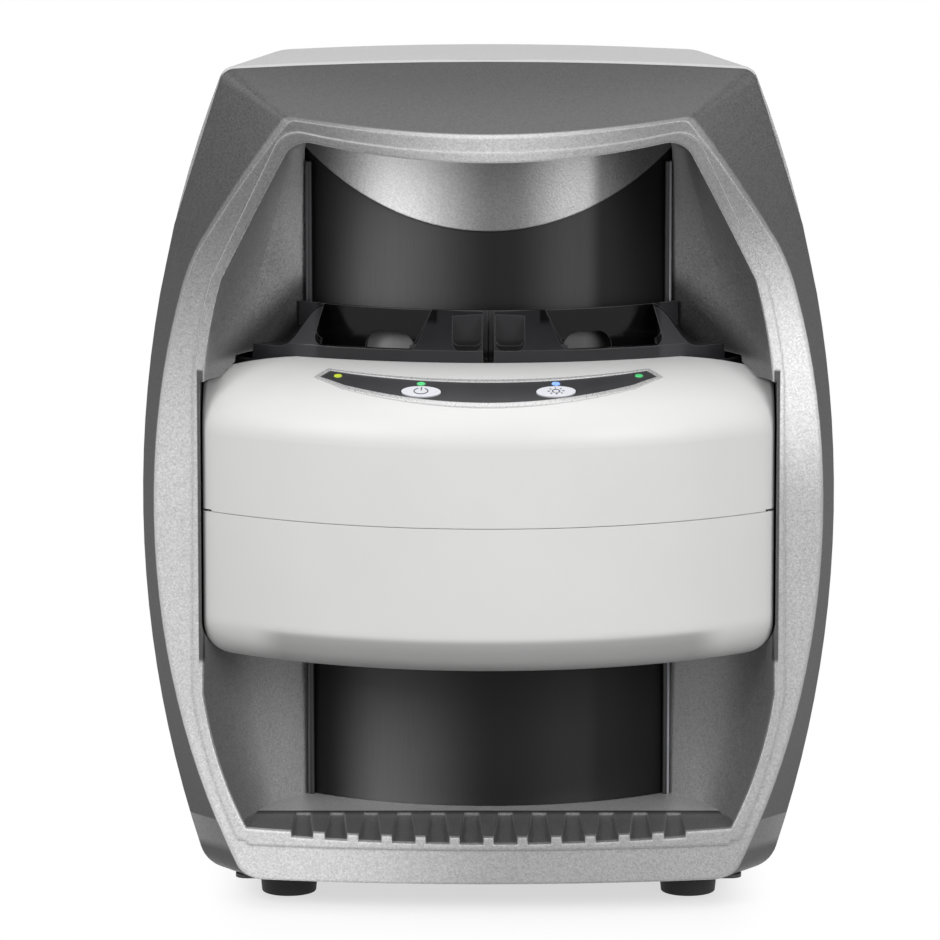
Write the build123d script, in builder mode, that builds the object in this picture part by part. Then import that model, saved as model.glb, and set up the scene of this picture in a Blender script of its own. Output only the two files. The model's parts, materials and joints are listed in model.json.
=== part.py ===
from build123d import *
import math
import os

os.makedirs("parts", exist_ok=True)

# All sizes are in millimetres. The scanner faces -Y, +X is to its right as seen
# from the front, and its feet stand on Z = 0.

# Housing outline, seen from the front: a barrel, widest at the waist
waist_half_width = 189.5
waist_z = 222
shoulder_half_width = 144
shoulder_z = 462
hem_half_width = 155
crown_rise = 4
shoulder_radius = 9
hem_radius = 18

# Housing depth
parting_y = -100
rim_depth = 12
bezel_front_y = -150
bulge_radius = 680
cover_back_y = 182
cover_back_inset = 9
cover_back_drop = 24
cover_back_radius = 20
cover_back_corner = 32
housing_wall = 3

# Running gap between curved faces of neighbouring pieces
part_gap = 0.3

# Feet and the steel base plate under the housing
foot_height = 15
foot_radius = 16.5
foot_draft = 1.5
foot_front_x = 111
foot_back_x = 100
foot_front_y = -93.5
foot_back_y = 145
base_thickness = 2
base_front_half_width = 140
base_back_half_width = 122
base_front_y = -128
base_back_y = 164
base_corner_radius = 6
foot_taper = 5.7
foot_edge_round = 1
foot_pocket_radius = 5
foot_pocket_depth = 8

# Screws
screw_radius = 2
screw_clearance = 0.2
screw_head_radius = 4
screw_head_height = 3
screw_head_round = 0.8
foot_screw_reach = 5
rear_screw_reach = 8
rear_screw_x = 110
rear_screw_low_z = 60
rear_screw_high_z = 385

# Silver front face of the bezel, where the sloping facets end
face_hem_half_width = 133.5
face_waist_half_width = 181.8
face_bend_low = (166.5, 339)
face_bend_mid = (160, 359)
face_bend_high = (150, 377)
face_corner = (107.5, 438)
face_hem_round = 4
face_shoulder_round = 3
facet_top_drop = 37

# Opening of the bezel and the alcove behind it
opening_sill_half_width = 130
opening_low_mid = (148, 80)
opening_low_end = (157, 120)
opening_high_start = (155.5, 296)
opening_high_mid = (151.5, 323)
opening_high_end = (145.3, 349.7)
opening_corner = (105, 428)
opening_top_mid_z = 415.8
opening_corner_radius = 14
opening_sill_z = 39
lip_width = 5.5
lip_height = 1.4
alcove_back_y = -66
alcove_middle_y = -88
alcove_front_y = -125
alcove_back_half_width = 101
alcove_swell = 1.44
alcove_wall = 2.5

# Collecting tray at the foot of the alcove
tray_shelf_z = 49.6
tray_shelf_depth = 12
rib_height = 4
rib_count = 13
rib_pitch = 18.6
pocket_front_width = 13.6
pocket_back_width = 8
pocket_back_depth = 1.6
pocket_margin = 3

# Drum: the upright cylinder that the plates run over
drum_axis_y = 60
drum_radius = 160
drum_wall = 3
drum_half_angle = 52
drum_top_z = 440
cap_front_z = 371.6
cap_slope = 50
cap_thickness = 1.2
cap_half_angle = 45
trim_inner_half = 97.2
trim_width = 3.7
trim_depth = 3
trim_top_z = 406
trim_round = 1
scan_slit_z = 186
scan_slit_height = 4
scan_slit_half_angle = 41

# White transport unit across the middle of the alcove
unit_front_radius = 245
unit_half_width = 156
unit_bottom_z = 139.3
unit_top_z = 303
unit_back_y = -102
unit_wall = 2.5
shoulder_set_back = 60
shoulder_drop = 38
unit_foot_round = 24
unit_bottom_corner = 20
unit_edge_round = 4
seam_z = 221.7
seam_gap = 0.3
seam_notch_length = 4.8
seam_notch_height = 1.1
notch_clearance = 1.1
notch_head = 9.5
unit_throat_radius = 196

# Control panel on the shoulder of the transport unit, as seen from above
panel_top_y = -154.9
panel_top_half = 87
panel_corner_y = -129.6
panel_tip_half = 94.8
panel_tip_y = -137
panel_foot_half = 79.8
panel_foot_y = -151.3
panel_bottom_y = -174.8
panel_border = 2.2
panel_gap = 0.1
panel_proud = 0.5
button_x = 36.4
button_radius = 225.6
button_length = 21.6
button_width = 8.8
button_gap = 0.4
button_depth = 4
button_proud = 0.6
button_stem_radius = 2
button_stem_length = 3
middle_led_radius = 219.2
end_led_x = 81.7
end_led_radius = 215.3
led_length = 4.7
led_width = 3.4
led_proud = 0.4
led_seat = 1
board_drop = 7.2
panel_board_width = 110
panel_board_depth = 14
board_thickness = 1.6
board_peg_x = 8
board_peg_radius = 1.5
board_peg_height = 5.6

# Black entry guide on top of the transport unit, in two halves
guide_front_y = -127
guide_back_y = -62
guide_front_radius = 232
guide_half_width = 130
guide_slot = 6
guide_wall = 2.5
guide_floor = 3
guide_rim_z = 329
guide_half_angle = 38.3
guide_slope = 19
flange_lip_height = 7.5
flange_lip_width = 5
window_width = 28
window_height = 14.2
window_angle = 18.8
window_round = 9
guide_drop = 4
wing_foot_half = 116
wing_foot_z = 307.5
wing_rim_half = 88
wing_sweep = 12
pocket_low_half = 96.5
pocket_high_half = 90.5
pocket_round = 4
block_lip_half = 40.7
block_rim_half = 31
niche_x = 11.7
niche_width = 16
niche_round = 4
niche_back_y = -110
niche_head = 2.2
slot_width = 6

# Upright chassis: side frames and the rear panel between them
sheet_thickness = 2
panel_clearance = 0.5
frame_half_width = 127
frame_front_y = -60
frame_foot_back_y = 60
frame_bend_y = 150
frame_top_z = 428
panel_bottom_z = 40
panel_top_z = 402
frame_window_y = 45
frame_window_low_z = 100
frame_window_high_z = 340
frame_window_width = 130
frame_window_height = 90
frame_window_round = 12

# Plate transport
drive_drop = 23
idler_rise = 24.7
axle_radius = 2.5
axle_clearance = 0.05
axle_half_length = 21.4
axle_end_gap = 0.2
roller_count = 5
belt_pulley_radius = 7.7
belt_pulley_width = 14
belt_flange_width = 1.2
belt_flange_radius = 9.2
belt_width = 13
belt_thickness = 1.5
rib_turn = 15
rib_drum_gap = 5.5
rib_roller_cover = 18.2
rib_thickness = 5
rib_low_drop = 6
bottom_plate_rise = 5.7
bottom_plate_set_back = 20
guide_plate_set_back = 45
bottom_plate_half_width = 138
side_plate_front_y = -110
side_plate_low_z = 168
side_plate_top_z = 285
motor_face = 25
motor_gap = 4.8
bracket_overlap = 0.7
motor_radius = 11
motor_length = 34
motor_nose_radius = 4
motor_edge_round = 1
motor_shaft_radius = 1.5
motor_bore_depth = 6
timing_start = 28.5
timing_end = 32.5
timing_pulley_radius = 5

# Eraser below the rollers
eraser_set_in = 4
eraser_half_angle = 36
eraser_height = 10
eraser_lamp_count = 9
eraser_lamp_turn = 8
lamp_size = 2.6
lamp_seat_gap = 0.05

# Scanner core inside the drum
optics_shelf_z = 150
optics_top_z = 262
shelf_thickness = 3
shelf_back_y = 150
shelf_post_x = 100
shelf_post_y = 120
shelf_post_radius = 4
spinner_radius = 21
spinner_height = 20
rotor_lift = 1
rotor_disc_radius = 24
rotor_disc_height = 4
rotor_head_radius = 9
rotor_head_base = 1
laser_width = 40
laser_corner = 3
laser_height = 40
laser_nose_radius = 6
laser_nose_height = 8
collector_low_z = 196
collector_foot_radius = 150
collector_top_radius = 70
collector_wall = 3
tube_x = 45
tube_radius = 17
tube_height = 60

# Main board and power supply
board_stand_off = 8
board_post_radius = 3
board_post_x = 80
board_post_low_z = 210
board_post_high_z = 370
board_middle_z = 290
board_width = 180
board_height = 180
chip_height = 4
supply_x = -60
supply_y = 60
supply_width = 90
supply_length = 150
supply_height = 42
supply_corner = 4

# Fan behind its vent slots
fan_x = 75
fan_z = 130
fan_size = 60
fan_corner = 4
fan_depth = 15
fan_bore_radius = 28
fan_hub_radius = 12
fan_strut = 3
fan_shaft_depth = 2
fan_blade_count = 7
fan_blade_reach = 26.5
fan_blade_thickness = 1.6
fan_blade_depth = 8
vent_count = 8
vent_pitch = 7
vent_height = 3
vent_margin = 4

# Power inlet, switch and data port
socket_z = 70
socket_proud = 1
inlet_x = -70
inlet_width = 28
inlet_height = 21
inlet_depth = 28
inlet_mouth_width = 24
inlet_mouth_height = 16.5
inlet_mouth_chamfer = 4
inlet_mouth_depth = 16
inlet_pin_width = 2
inlet_pin_height = 4
inlet_pin_spread = 7
inlet_pin_rise = 2
inlet_pin_length = 11
switch_x = -30
switch_width = 14
switch_height = 21
switch_depth = 14
rocker_width = 9.5
rocker_height = 13.8
rocker_gap = 1
rocker_depth = 9
rocker_pivot_depth = 3
rocker_foot = 3.5
rocker_rise = 1.5
rocker_edge = 2
rocker_tilt = 11.3
data_port_x = 10
data_port_width = 12
data_port_height = 11
data_port_depth = 12
data_port_wall = 1
data_port_tongue = 4
data_port_tongue_length = 6

# Values worked out from the sizes above
floor_z = foot_height + base_thickness
crown_z = shoulder_z + crown_rise
rim_y = parting_y - rim_depth
far_y = bezel_front_y - 12
tray_front_y = bezel_front_y - 2 * lip_height
drum_front_y = drum_axis_y - drum_radius
guide_floor_z = unit_top_z - guide_drop
lip_top_z = guide_floor_z + guide_floor + flange_lip_height
roller_axis_radius = drum_radius + belt_pulley_radius + belt_thickness + 2 * part_gap
drive_z = unit_top_z - drive_drop
idler_z = unit_bottom_z + idler_rise
rib_inner_radius = drum_radius + rib_drum_gap
rib_outer_radius = roller_axis_radius + rib_roller_cover
bottom_plate_z = unit_bottom_z + bottom_plate_rise
bottom_plate_radius = unit_front_radius - bottom_plate_set_back
guide_plate_radius = unit_front_radius - guide_plate_set_back
flange_half_width = unit_half_width - unit_wall - part_gap
motor_shift = rib_outer_radius + sheet_thickness + motor_gap + motor_radius - roller_axis_radius
bracket_inner = motor_radius + motor_gap + sheet_thickness + bracket_overlap
eraser_radius = rib_outer_radius - eraser_set_in
standing = (Align.CENTER, Align.CENTER, Align.MIN)
foot_corners = ((foot_front_x, foot_front_y), (foot_back_x, foot_back_y))
foot_places = [(side * x, y) for side in (-1, 1) for x, y in foot_corners]
rear_screw_levels = (rear_screw_low_z, rear_screw_high_z)
rear_screw_places = [(side * rear_screw_x, z) for side in (-1, 1) for z in rear_screw_levels]
board_post_levels = (board_post_low_z, board_post_high_z)
board_post_places = [(side * board_post_x, z) for side in (-1, 1) for z in board_post_levels]
chip_places = [
    (-40, 310, 36, 36),
    (30, 330, 28, 28),
    (30, 270, 22, 14),
    (-45, 240, 50, 12),
    (60, 225, 16, 16),
]


def upright(y):
    # Upright plane at depth y: local x is X, local y is Z, the normal faces the front
    return Plane(origin=(0, y, 0), x_dir=(1, 0, 0), z_dir=(0, -1, 0))


def bulge_y(x):
    # Depth of the bowed front face of the bezel at x
    return bezel_front_y + bulge_radius - math.sqrt(bulge_radius**2 - x**2)


def barrel_half_width(z):
    # Half width of the housing at height z: the arc through hem, waist and shoulder
    (x1, z1), (x2, z2), (x3, z3) = (
        (hem_half_width, floor_z),
        (waist_half_width, waist_z),
        (shoulder_half_width, shoulder_z),
    )
    d = 2 * (x1 * (z2 - z3) + x2 * (z3 - z1) + x3 * (z1 - z2))
    s1, s2, s3 = x1**2 + z1**2, x2**2 + z2**2, x3**2 + z3**2
    cx = (s1 * (z2 - z3) + s2 * (z3 - z1) + s3 * (z1 - z2)) / d
    cz = (s1 * (x3 - x2) + s2 * (x1 - x3) + s3 * (x2 - x1)) / d
    return cx + math.sqrt((x1 - cx) ** 2 + (z1 - cz) ** 2 - (z - cz) ** 2)


def carry_on(start, start_y, end):
    # Carries the line from a rim point through a face point on to the plane far_y
    reach = (start_y - far_y) / (start_y - bulge_y(end[0]))
    return (start[0] + reach * (end[0] - start[0]), start[1] + reach * (end[1] - start[1]))


def mirrored(point):
    return (-point[0], point[1])


def side_run(start, middle, end):
    # One stretch of a side: an arc, or a line where the three points are in line
    turn = (middle[0] - start[0]) * (end[1] - start[1]) - (middle[1] - start[1]) * (end[0] - start[0])
    if abs(turn) < 1e-6:
        return Line(start, end)
    return ThreePointArc(start, middle, end)


def barrel_outline(y, points, crown, hem_round, shoulder_round):
    # Closed outline through hem, waist, bend start, bend, bend end and shoulder
    hem, waist, low, bend, high, corner = points
    with BuildSketch(upright(y)) as outline:
        with BuildLine():
            Line(mirrored(hem), hem)
            ThreePointArc(hem, waist, low)
            side_run(low, bend, high)
            Line(high, corner)
            ThreePointArc(corner, (0, crown), mirrored(corner))
            Line(mirrored(corner), mirrored(high))
            side_run(mirrored(high), mirrored(bend), mirrored(low))
            ThreePointArc(mirrored(low), mirrored(waist), mirrored(hem))
        make_face()
        fillet(outline.vertices().group_by(Axis.Y)[0], hem_round)
        fillet(outline.vertices().sort_by(Axis.Y)[-2:], shoulder_round)
    return outline.sketch


def rim_points(inset):
    # Outline of the housing at the rim, moved in by inset
    low_z, high_z = face_bend_low[1], face_bend_high[1]
    low_x, high_x = barrel_half_width(low_z) - inset, barrel_half_width(high_z) - inset
    return [
        (hem_half_width - inset, floor_z + inset),
        (waist_half_width - inset, waist_z),
        (low_x, low_z),
        ((low_x + high_x) / 2, (low_z + high_z) / 2),
        (high_x, high_z),
        (shoulder_half_width - inset, shoulder_z - inset),
    ]


def far_points(inset):
    # The same outline where the facets would end on the plane far_y
    face = [
        (face_hem_half_width, floor_z),
        (face_waist_half_width, waist_z),
        face_bend_low,
        face_bend_mid,
        face_bend_high,
        face_corner,
    ]
    spread = [carry_on(a, rim_y, b) for a, b in zip(rim_points(0), face)]
    moved = [(x - inset, z) for x, z in spread]
    moved[0] = (moved[0][0], floor_z + inset)
    moved[5] = (moved[5][0], moved[5][1] - inset)
    return moved


def bezel_block(inset):
    # The faceted block of the bezel before its front is bowed
    top = crown_z - inset
    far_top = carry_on((0, crown_z), rim_y, (0, crown_z - facet_top_drop))[1] - inset
    with BuildPart() as block:
        hem_round, shoulder_round = hem_radius - inset, shoulder_radius - inset
        extrude(barrel_outline(parting_y, rim_points(inset), top, hem_round, shoulder_round), rim_depth)
        rim = barrel_outline(rim_y, rim_points(inset), top, hem_round, shoulder_round)
        far = barrel_outline(far_y, far_points(inset), far_top, face_hem_round, face_shoulder_round)
        loft([rim, far], ruled=True)
        with BuildSketch(Plane.XY):
            with Locations((0, bezel_front_y + inset + bulge_radius)):
                Circle(bulge_radius)
        extrude(amount=crown_z + floor_z, mode=Mode.INTERSECT)
    return block.part


def alcove_points(grow):
    # Opening outline on the bowed face, moved out by grow
    return [
        (opening_sill_half_width + grow, opening_sill_z - grow),
        (opening_low_mid[0] + grow, opening_low_mid[1]),
        (opening_low_end[0] + grow, opening_low_end[1]),
        (opening_high_start[0] + grow, opening_high_start[1]),
        (opening_high_mid[0] + grow, opening_high_mid[1]),
        (opening_high_end[0] + grow, opening_high_end[1]),
        (opening_corner[0] + grow, opening_corner[1] + grow),
    ]


def opening_outline(y, points, top_z, corner_round):
    # Closed opening outline from the sill up to the curved top edge
    sill, low_mid, low_end, high_start, high_mid, high_end, corner = points
    with BuildSketch(upright(y)) as outline:
        with BuildLine():
            Line(mirrored(sill), sill)
            side_run(sill, low_mid, low_end)
            Line(low_end, high_start)
            side_run(high_start, high_mid, high_end)
            Line(high_end, corner)
            ThreePointArc(corner, (0, top_z), mirrored(corner))
            Line(mirrored(corner), mirrored(high_end))
            side_run(mirrored(high_end), mirrored(high_mid), mirrored(high_start))
            Line(mirrored(high_start), mirrored(low_end))
            side_run(mirrored(low_end), mirrored(low_mid), mirrored(sill))
        make_face()
        fillet(outline.vertices().sort_by(Axis.Y)[-2:], corner_round)
    return outline.sketch


def swelled(start, end, y):
    # Point at depth y on the bowed wall that runs from a back point out to a face point
    share = (alcove_back_y - y) / (alcove_back_y - bulge_y(end[0]))
    swell = share * (1 + alcove_swell) / (1 + alcove_swell * share)
    return (start[0] + swell * (end[0] - start[0]), end[1])


def alcove_block(grow):
    # Funnel with bowed sides from the opening back to the drum, moved out by grow
    front = alcove_points(grow)
    half = alcove_back_half_width + grow
    outlines = []
    for y in (alcove_back_y, alcove_middle_y, alcove_front_y, far_y):
        points = [swelled((half, z), (x, z), y) for x, z in front]
        outlines.append(opening_outline(y, points, opening_top_mid_z + grow, opening_corner_radius))
    with BuildPart() as block:
        loft(outlines, ruled=True)
    return block.part


def unit_view(y, inset):
    # Front view of the unit at depth y, carried on above its top
    with BuildSketch(upright(y)) as view:
        with Locations((0, unit_bottom_z)):
            Rectangle(
                2 * (unit_half_width - inset),
                unit_top_z + unit_bottom_corner - unit_bottom_z,
                align=(Align.CENTER, Align.MIN),
            )
        fillet(view.vertices().group_by(Axis.Y)[0], unit_bottom_corner - inset)
    return view.sketch


def unit_form(inset):
    # Solid of the unit: a profile turned about the drum's axis, cut to its front view
    front = unit_front_radius - inset
    low, top = unit_bottom_z + inset, unit_top_z - inset
    foot_round = unit_foot_round - inset
    reach, drop = shoulder_set_back - inset, shoulder_drop - inset
    slant = foot_round * (1 - math.sqrt(0.5))
    foot_start = (front - foot_round, low)
    back_y = unit_back_y - min(inset, 0)
    with BuildPart() as form:
        with BuildSketch(upright(drum_axis_y)):
            with BuildLine():
                Line((0, low), foot_start)
                ThreePointArc(foot_start, (front - slant, low + slant), (front, low + foot_round))
                Line((front, low + foot_round), (front, top - drop))
                EllipticalCenterArc((front - reach, top - drop), reach, drop, arc_size=90)
                Line((front - reach, top), (0, top))
                Line((0, top), (0, low))
            make_face()
        revolve(axis=Axis((0, drum_axis_y, 0), (0, 0, 1)), revolution_arc=360)
        extrude(unit_view(back_y, inset), unit_front_radius, mode=Mode.INTERSECT)
    return form.part


# Front bezel: one moulding with the faceted frame, the alcove and the ribbed tray
with BuildPart() as tray_floor:
    add(alcove_block(0))
    with BuildSketch(Plane.YZ):
        with BuildLine():
            shelf_end = drum_front_y - tray_shelf_depth
            Polyline(
                (alcove_back_y, opening_sill_z),
                (tray_front_y, opening_sill_z),
                (tray_front_y, opening_sill_z + rib_height),
                (shelf_end, tray_shelf_z),
                (alcove_back_y, tray_shelf_z),
                close=True,
            )
        make_face()
    extrude(amount=waist_half_width, both=True, mode=Mode.INTERSECT)
    with BuildSketch(Plane.XY):
        with Locations((0, bezel_front_y - lip_height + bulge_radius)):
            Circle(bulge_radius)
        with Locations((0, drum_axis_y)):
            Circle(drum_radius + part_gap, mode=Mode.SUBTRACT)
    extrude(amount=tray_shelf_z, mode=Mode.INTERSECT)
    pocket_back_y = shelf_end - pocket_margin
    pocket_floor_z = tray_shelf_z - pocket_back_depth
    for number in range(rib_count - 1):
        middle = (number - (rib_count - 2) / 2) * rib_pitch
        with BuildSketch(upright(pocket_back_y)):
            with Locations((middle, pocket_floor_z)):
                Rectangle(pocket_back_width, tray_shelf_z, align=(Align.CENTER, Align.MIN))
        with BuildSketch(upright(tray_front_y)):
            with Locations((middle, opening_sill_z)):
                Rectangle(pocket_front_width, tray_shelf_z, align=(Align.CENTER, Align.MIN))
        loft(mode=Mode.SUBTRACT)

with BuildPart() as cover_path:
    # Straight edges of the notch, along which the lower cover comes off
    extrude(unit_view(unit_back_y, -notch_clearance), unit_back_y - far_y)
    with BuildSketch(Plane.XY):
        Rectangle(2 * unit_front_radius, 2 * unit_front_radius)
    extrude(amount=unit_top_z - notch_head, mode=Mode.INTERSECT)

with BuildPart() as front_bezel:
    add(bezel_block(0))
    add(bezel_block(housing_wall), mode=Mode.SUBTRACT)
    with BuildSketch(upright(parting_y)):
        lip_points = alcove_points(lip_width)
        add(opening_outline(0, lip_points, opening_top_mid_z + lip_width, opening_corner_radius))
        with Locations((0, opening_sill_z)):
            Rectangle(2 * waist_half_width, lip_width, align=(Align.CENTER, Align.MAX), mode=Mode.SUBTRACT)
    extrude(amount=parting_y - far_y)
    for side in (-1, 1):
        with BuildSketch(Plane.XY.offset(unit_bottom_z - notch_clearance)):
            with Locations((side * (unit_half_width + notch_clearance + housing_wall / 2), parting_y)):
                Rectangle(housing_wall, parting_y - far_y, align=(Align.CENTER, Align.MAX))
        extrude(amount=unit_top_z - unit_bottom_z + 2 * notch_clearance)
    add(alcove_block(alcove_wall))
    with BuildSketch(Plane.XY):
        with Locations((0, bezel_front_y - lip_height + bulge_radius)):
            Circle(bulge_radius)
    extrude(amount=crown_z + floor_z, mode=Mode.INTERSECT)
    add(alcove_block(0), mode=Mode.SUBTRACT)
    add(unit_form(-notch_clearance), mode=Mode.SUBTRACT)
    add(cover_path.part, mode=Mode.SUBTRACT)
    with BuildSketch(upright(alcove_back_y)):
        with Locations((0, unit_bottom_z + unit_wall)):
            Rectangle(
                2 * (flange_half_width + part_gap),
                unit_top_z + part_gap - unit_bottom_z - unit_wall,
                align=(Align.CENTER, Align.MIN),
            )
    extrude(amount=alcove_back_y - unit_back_y, mode=Mode.SUBTRACT)
    with BuildSketch(Plane.XY.offset(floor_z)):
        with Locations((0, drum_axis_y)):
            Circle(drum_radius + cap_thickness + 2 * part_gap)
    extrude(amount=crown_z, mode=Mode.SUBTRACT)
    add(tray_floor.part)
front_bezel.part.label = "front_bezel"
export_step(front_bezel.part, "parts/front_bezel.step")

# Rear cover: a moulded shell behind the bezel, open below over the base plate
def cover_outline(y, inset, drop, hem_round, shoulder_round):
    # Barrel outline with plain sides, its top lowered by drop
    hem = (hem_half_width - inset, floor_z)
    waist = (waist_half_width - inset, waist_z)
    corner = (shoulder_half_width - inset, shoulder_z - drop)
    with BuildSketch(upright(y)) as outline:
        with BuildLine():
            Line(mirrored(hem), hem)
            ThreePointArc(hem, waist, corner)
            ThreePointArc(corner, (0, crown_z - drop), mirrored(corner))
            ThreePointArc(mirrored(corner), mirrored(waist), mirrored(hem))
        make_face()
        fillet(outline.vertices().group_by(Axis.Y)[0], hem_round)
        fillet(outline.vertices().sort_by(Axis.Y)[-2:], shoulder_round)
    return outline.sketch


def cover_block(inset):
    # The tapering block of the rear cover with its rounded back edges
    front_outline = cover_outline(parting_y, inset, inset, hem_radius - inset, shoulder_radius - inset)
    back_inset = inset + cover_back_inset
    back_drop = inset + cover_back_drop
    back_round = cover_back_corner - inset
    back_outline = cover_outline(cover_back_y - inset, back_inset, back_drop, back_round, back_round)
    with BuildPart() as block:
        loft([front_outline, back_outline], ruled=True)
        fillet(block.faces().sort_by(Axis.Y)[-1].edges(), cover_back_radius - inset)
    return block.part


with BuildPart() as rear_cover:
    add(cover_block(0))
    add(cover_block(housing_wall), mode=Mode.SUBTRACT)
    with BuildSketch(upright(cover_back_y + housing_wall)):
        with Locations((inlet_x, socket_z)):
            Rectangle(inlet_width + part_gap, inlet_height + part_gap)
        with Locations((switch_x, socket_z)):
            Rectangle(switch_width + part_gap, switch_height + part_gap)
        with Locations((data_port_x, socket_z)):
            Rectangle(data_port_width + part_gap, data_port_height + part_gap)
        with Locations(*rear_screw_places):
            Circle(screw_radius + screw_clearance)
        for row in range(vent_count):
            rise = (row - (vent_count - 1) / 2) * vent_pitch
            half = math.sqrt((fan_bore_radius + vent_margin / 2) ** 2 - rise**2) - vent_margin
            with Locations((fan_x, fan_z + rise)):
                SlotOverall(2 * half, vent_height)
    extrude(amount=3 * housing_wall, mode=Mode.SUBTRACT)
rear_cover.part.label = "rear_cover"
export_step(rear_cover.part, "parts/rear_cover.step")


# White transport unit, split at the seam into an upper and a lower cover
def guide_outline(grow, z):
    # Plan outline of the entry guide at height z, moved out by grow
    half = guide_half_width + grow
    front = guide_front_y - grow
    side_y = front + guide_front_radius - math.sqrt(guide_front_radius**2 - half**2)
    with BuildSketch(Plane.XY.offset(z)) as outline:
        with BuildLine():
            ThreePointArc((-half, side_y), (0, front), (half, side_y))
            Polyline((half, side_y), (half, guide_back_y), (-half, guide_back_y), (-half, side_y))
        make_face()
    return outline.sketch


def panel_outline(shrink):
    # Plan outline of the control panel above the seam: a crescent with pointed ends
    top, bottom = panel_top_y - shrink, panel_bottom_y + shrink
    corner = (panel_top_half - shrink / 2, panel_corner_y - shrink)
    tip = (panel_tip_half - shrink * 1.3, panel_tip_y - shrink / 4)
    foot = (panel_foot_half - shrink / 2, panel_foot_y + shrink)
    with BuildSketch(Plane.XY.offset(seam_z)) as outline:
        with BuildLine():
            ThreePointArc(mirrored(corner), (0, top), corner)
            Line(corner, tip)
            Line(tip, foot)
            ThreePointArc(foot, (0, bottom), mirrored(foot))
            Line(mirrored(foot), mirrored(tip))
            Line(mirrored(tip), mirrored(corner))
        make_face()
    return outline.sketch


def on_shoulder(x, radius):
    # Plane on the shoulder of the unit at x and at a radius from the drum's axis
    run = (radius - (unit_front_radius - shoulder_set_back)) / shoulder_set_back
    rise = math.sqrt(1 - run**2)
    z = unit_top_z - shoulder_drop * (1 - rise)
    turn = math.asin(x / radius)
    out = Vector(math.sin(turn), -math.cos(turn), 0)
    lean = math.atan2(shoulder_drop * run, shoulder_set_back * rise)
    normal = out * math.sin(lean) + Vector(0, 0, 1) * math.cos(lean)
    across = Vector(math.cos(turn), math.sin(turn), 0)
    return Plane(origin=(x, drum_axis_y - radius * math.cos(turn), z), x_dir=across, z_dir=normal)


power_plane = on_shoulder(-button_x, button_radius)
eraser_plane = on_shoulder(button_x, button_radius)
lamp_planes = {
    "standby_led": on_shoulder(-end_led_x, end_led_radius),
    "power_led": on_shoulder(-button_x, middle_led_radius),
    "eraser_led": on_shoulder(button_x, middle_led_radius),
    "ready_led": on_shoulder(end_led_x, end_led_radius),
}

with BuildPart() as unit_shell:
    add(unit_form(0))
    side_edges = unit_shell.edges().filter_by(lambda edge: edge.center().Y < unit_back_y - unit_edge_round)
    fillet(side_edges.filter_by(lambda edge: abs(edge.center().X) > unit_half_width / 2), unit_edge_round)
    add(unit_form(unit_wall), mode=Mode.SUBTRACT)

with BuildPart() as upper_front_cover:
    add(unit_shell.part)
    with BuildSketch(Plane.XY.offset(seam_z + seam_gap / 2)):
        Rectangle(2 * unit_front_radius, 2 * unit_front_radius)
    extrude(amount=unit_top_z, mode=Mode.INTERSECT)
    extrude(guide_outline(part_gap, 0), unit_top_z + unit_wall, mode=Mode.SUBTRACT)
    extrude(panel_outline(0), unit_top_z - seam_z, mode=Mode.SUBTRACT)
    with Locations((-unit_half_width, unit_back_y, seam_z), (unit_half_width, unit_back_y, seam_z)):
        Box(2 * seam_notch_length, unit_front_radius, seam_notch_height, align=standing, mode=Mode.SUBTRACT)
upper_front_cover.part.label = "upper_front_cover"
export_step(upper_front_cover.part, "parts/upper_front_cover.step")

with BuildPart() as lower_front_cover:
    add(unit_shell.part)
    with BuildSketch(Plane.XY):
        Rectangle(2 * unit_front_radius, 2 * unit_front_radius)
    extrude(amount=seam_z - seam_gap / 2, mode=Mode.INTERSECT)
    with BuildSketch(Plane.XY):
        with Locations((0, drum_axis_y)):
            Circle(unit_throat_radius)
    extrude(amount=unit_bottom_z + unit_foot_round, mode=Mode.SUBTRACT)
lower_front_cover.part.label = "lower_front_cover"
export_step(lower_front_cover.part, "parts/lower_front_cover.step")

# Control panel: a pale frame let into the shoulder and a dark face inside it
with BuildPart() as control_panel_frame:
    add(unit_form(-panel_proud))
    add(unit_form(unit_wall), mode=Mode.SUBTRACT)
    extrude(panel_outline(panel_gap), unit_top_z - seam_z, mode=Mode.INTERSECT)
    extrude(panel_outline(panel_border), unit_top_z - seam_z, mode=Mode.SUBTRACT)
control_panel_frame.part.label = "control_panel_frame"
export_step(control_panel_frame.part, "parts/control_panel_frame.step")

with BuildPart() as control_panel_face:
    add(unit_form(0))
    add(unit_form(unit_wall), mode=Mode.SUBTRACT)
    extrude(panel_outline(panel_border), unit_top_z - seam_z, mode=Mode.INTERSECT)
    for plane in (power_plane, eraser_plane):
        with BuildSketch(plane.offset(-button_depth)):
            Ellipse(button_length / 2 + button_gap, button_width / 2 + button_gap)
        extrude(amount=2 * button_depth, mode=Mode.SUBTRACT)
    for plane in lamp_planes.values():
        with BuildSketch(plane.offset(-button_depth)):
            Ellipse(led_length / 2, led_width / 2)
        extrude(amount=2 * button_depth, mode=Mode.SUBTRACT)
control_panel_face.part.label = "control_panel_face"
export_step(control_panel_face.part, "parts/control_panel_face.step")


def press_button(plane):
    # Oval key cap with a crowned edge and a stem down to its switch
    with BuildPart() as button:
        with BuildSketch(plane.offset(-unit_wall)):
            Ellipse(button_length / 2, button_width / 2)
        extrude(amount=unit_wall + button_proud)
        fillet(button.faces().sort_by(Axis(plane.origin, plane.z_dir))[-1].edges(), button_proud / 2)
        with BuildSketch(plane.offset(-unit_wall)):
            Circle(button_stem_radius)
        extrude(amount=-(button_stem_length))
    return button.part


power_button = press_button(power_plane)
power_button.label = "power_button"
export_step(power_button, "parts/power_button.step")

eraser_button = press_button(eraser_plane)
eraser_button.label = "eraser_button"
export_step(eraser_button, "parts/eraser_button.step")

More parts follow.
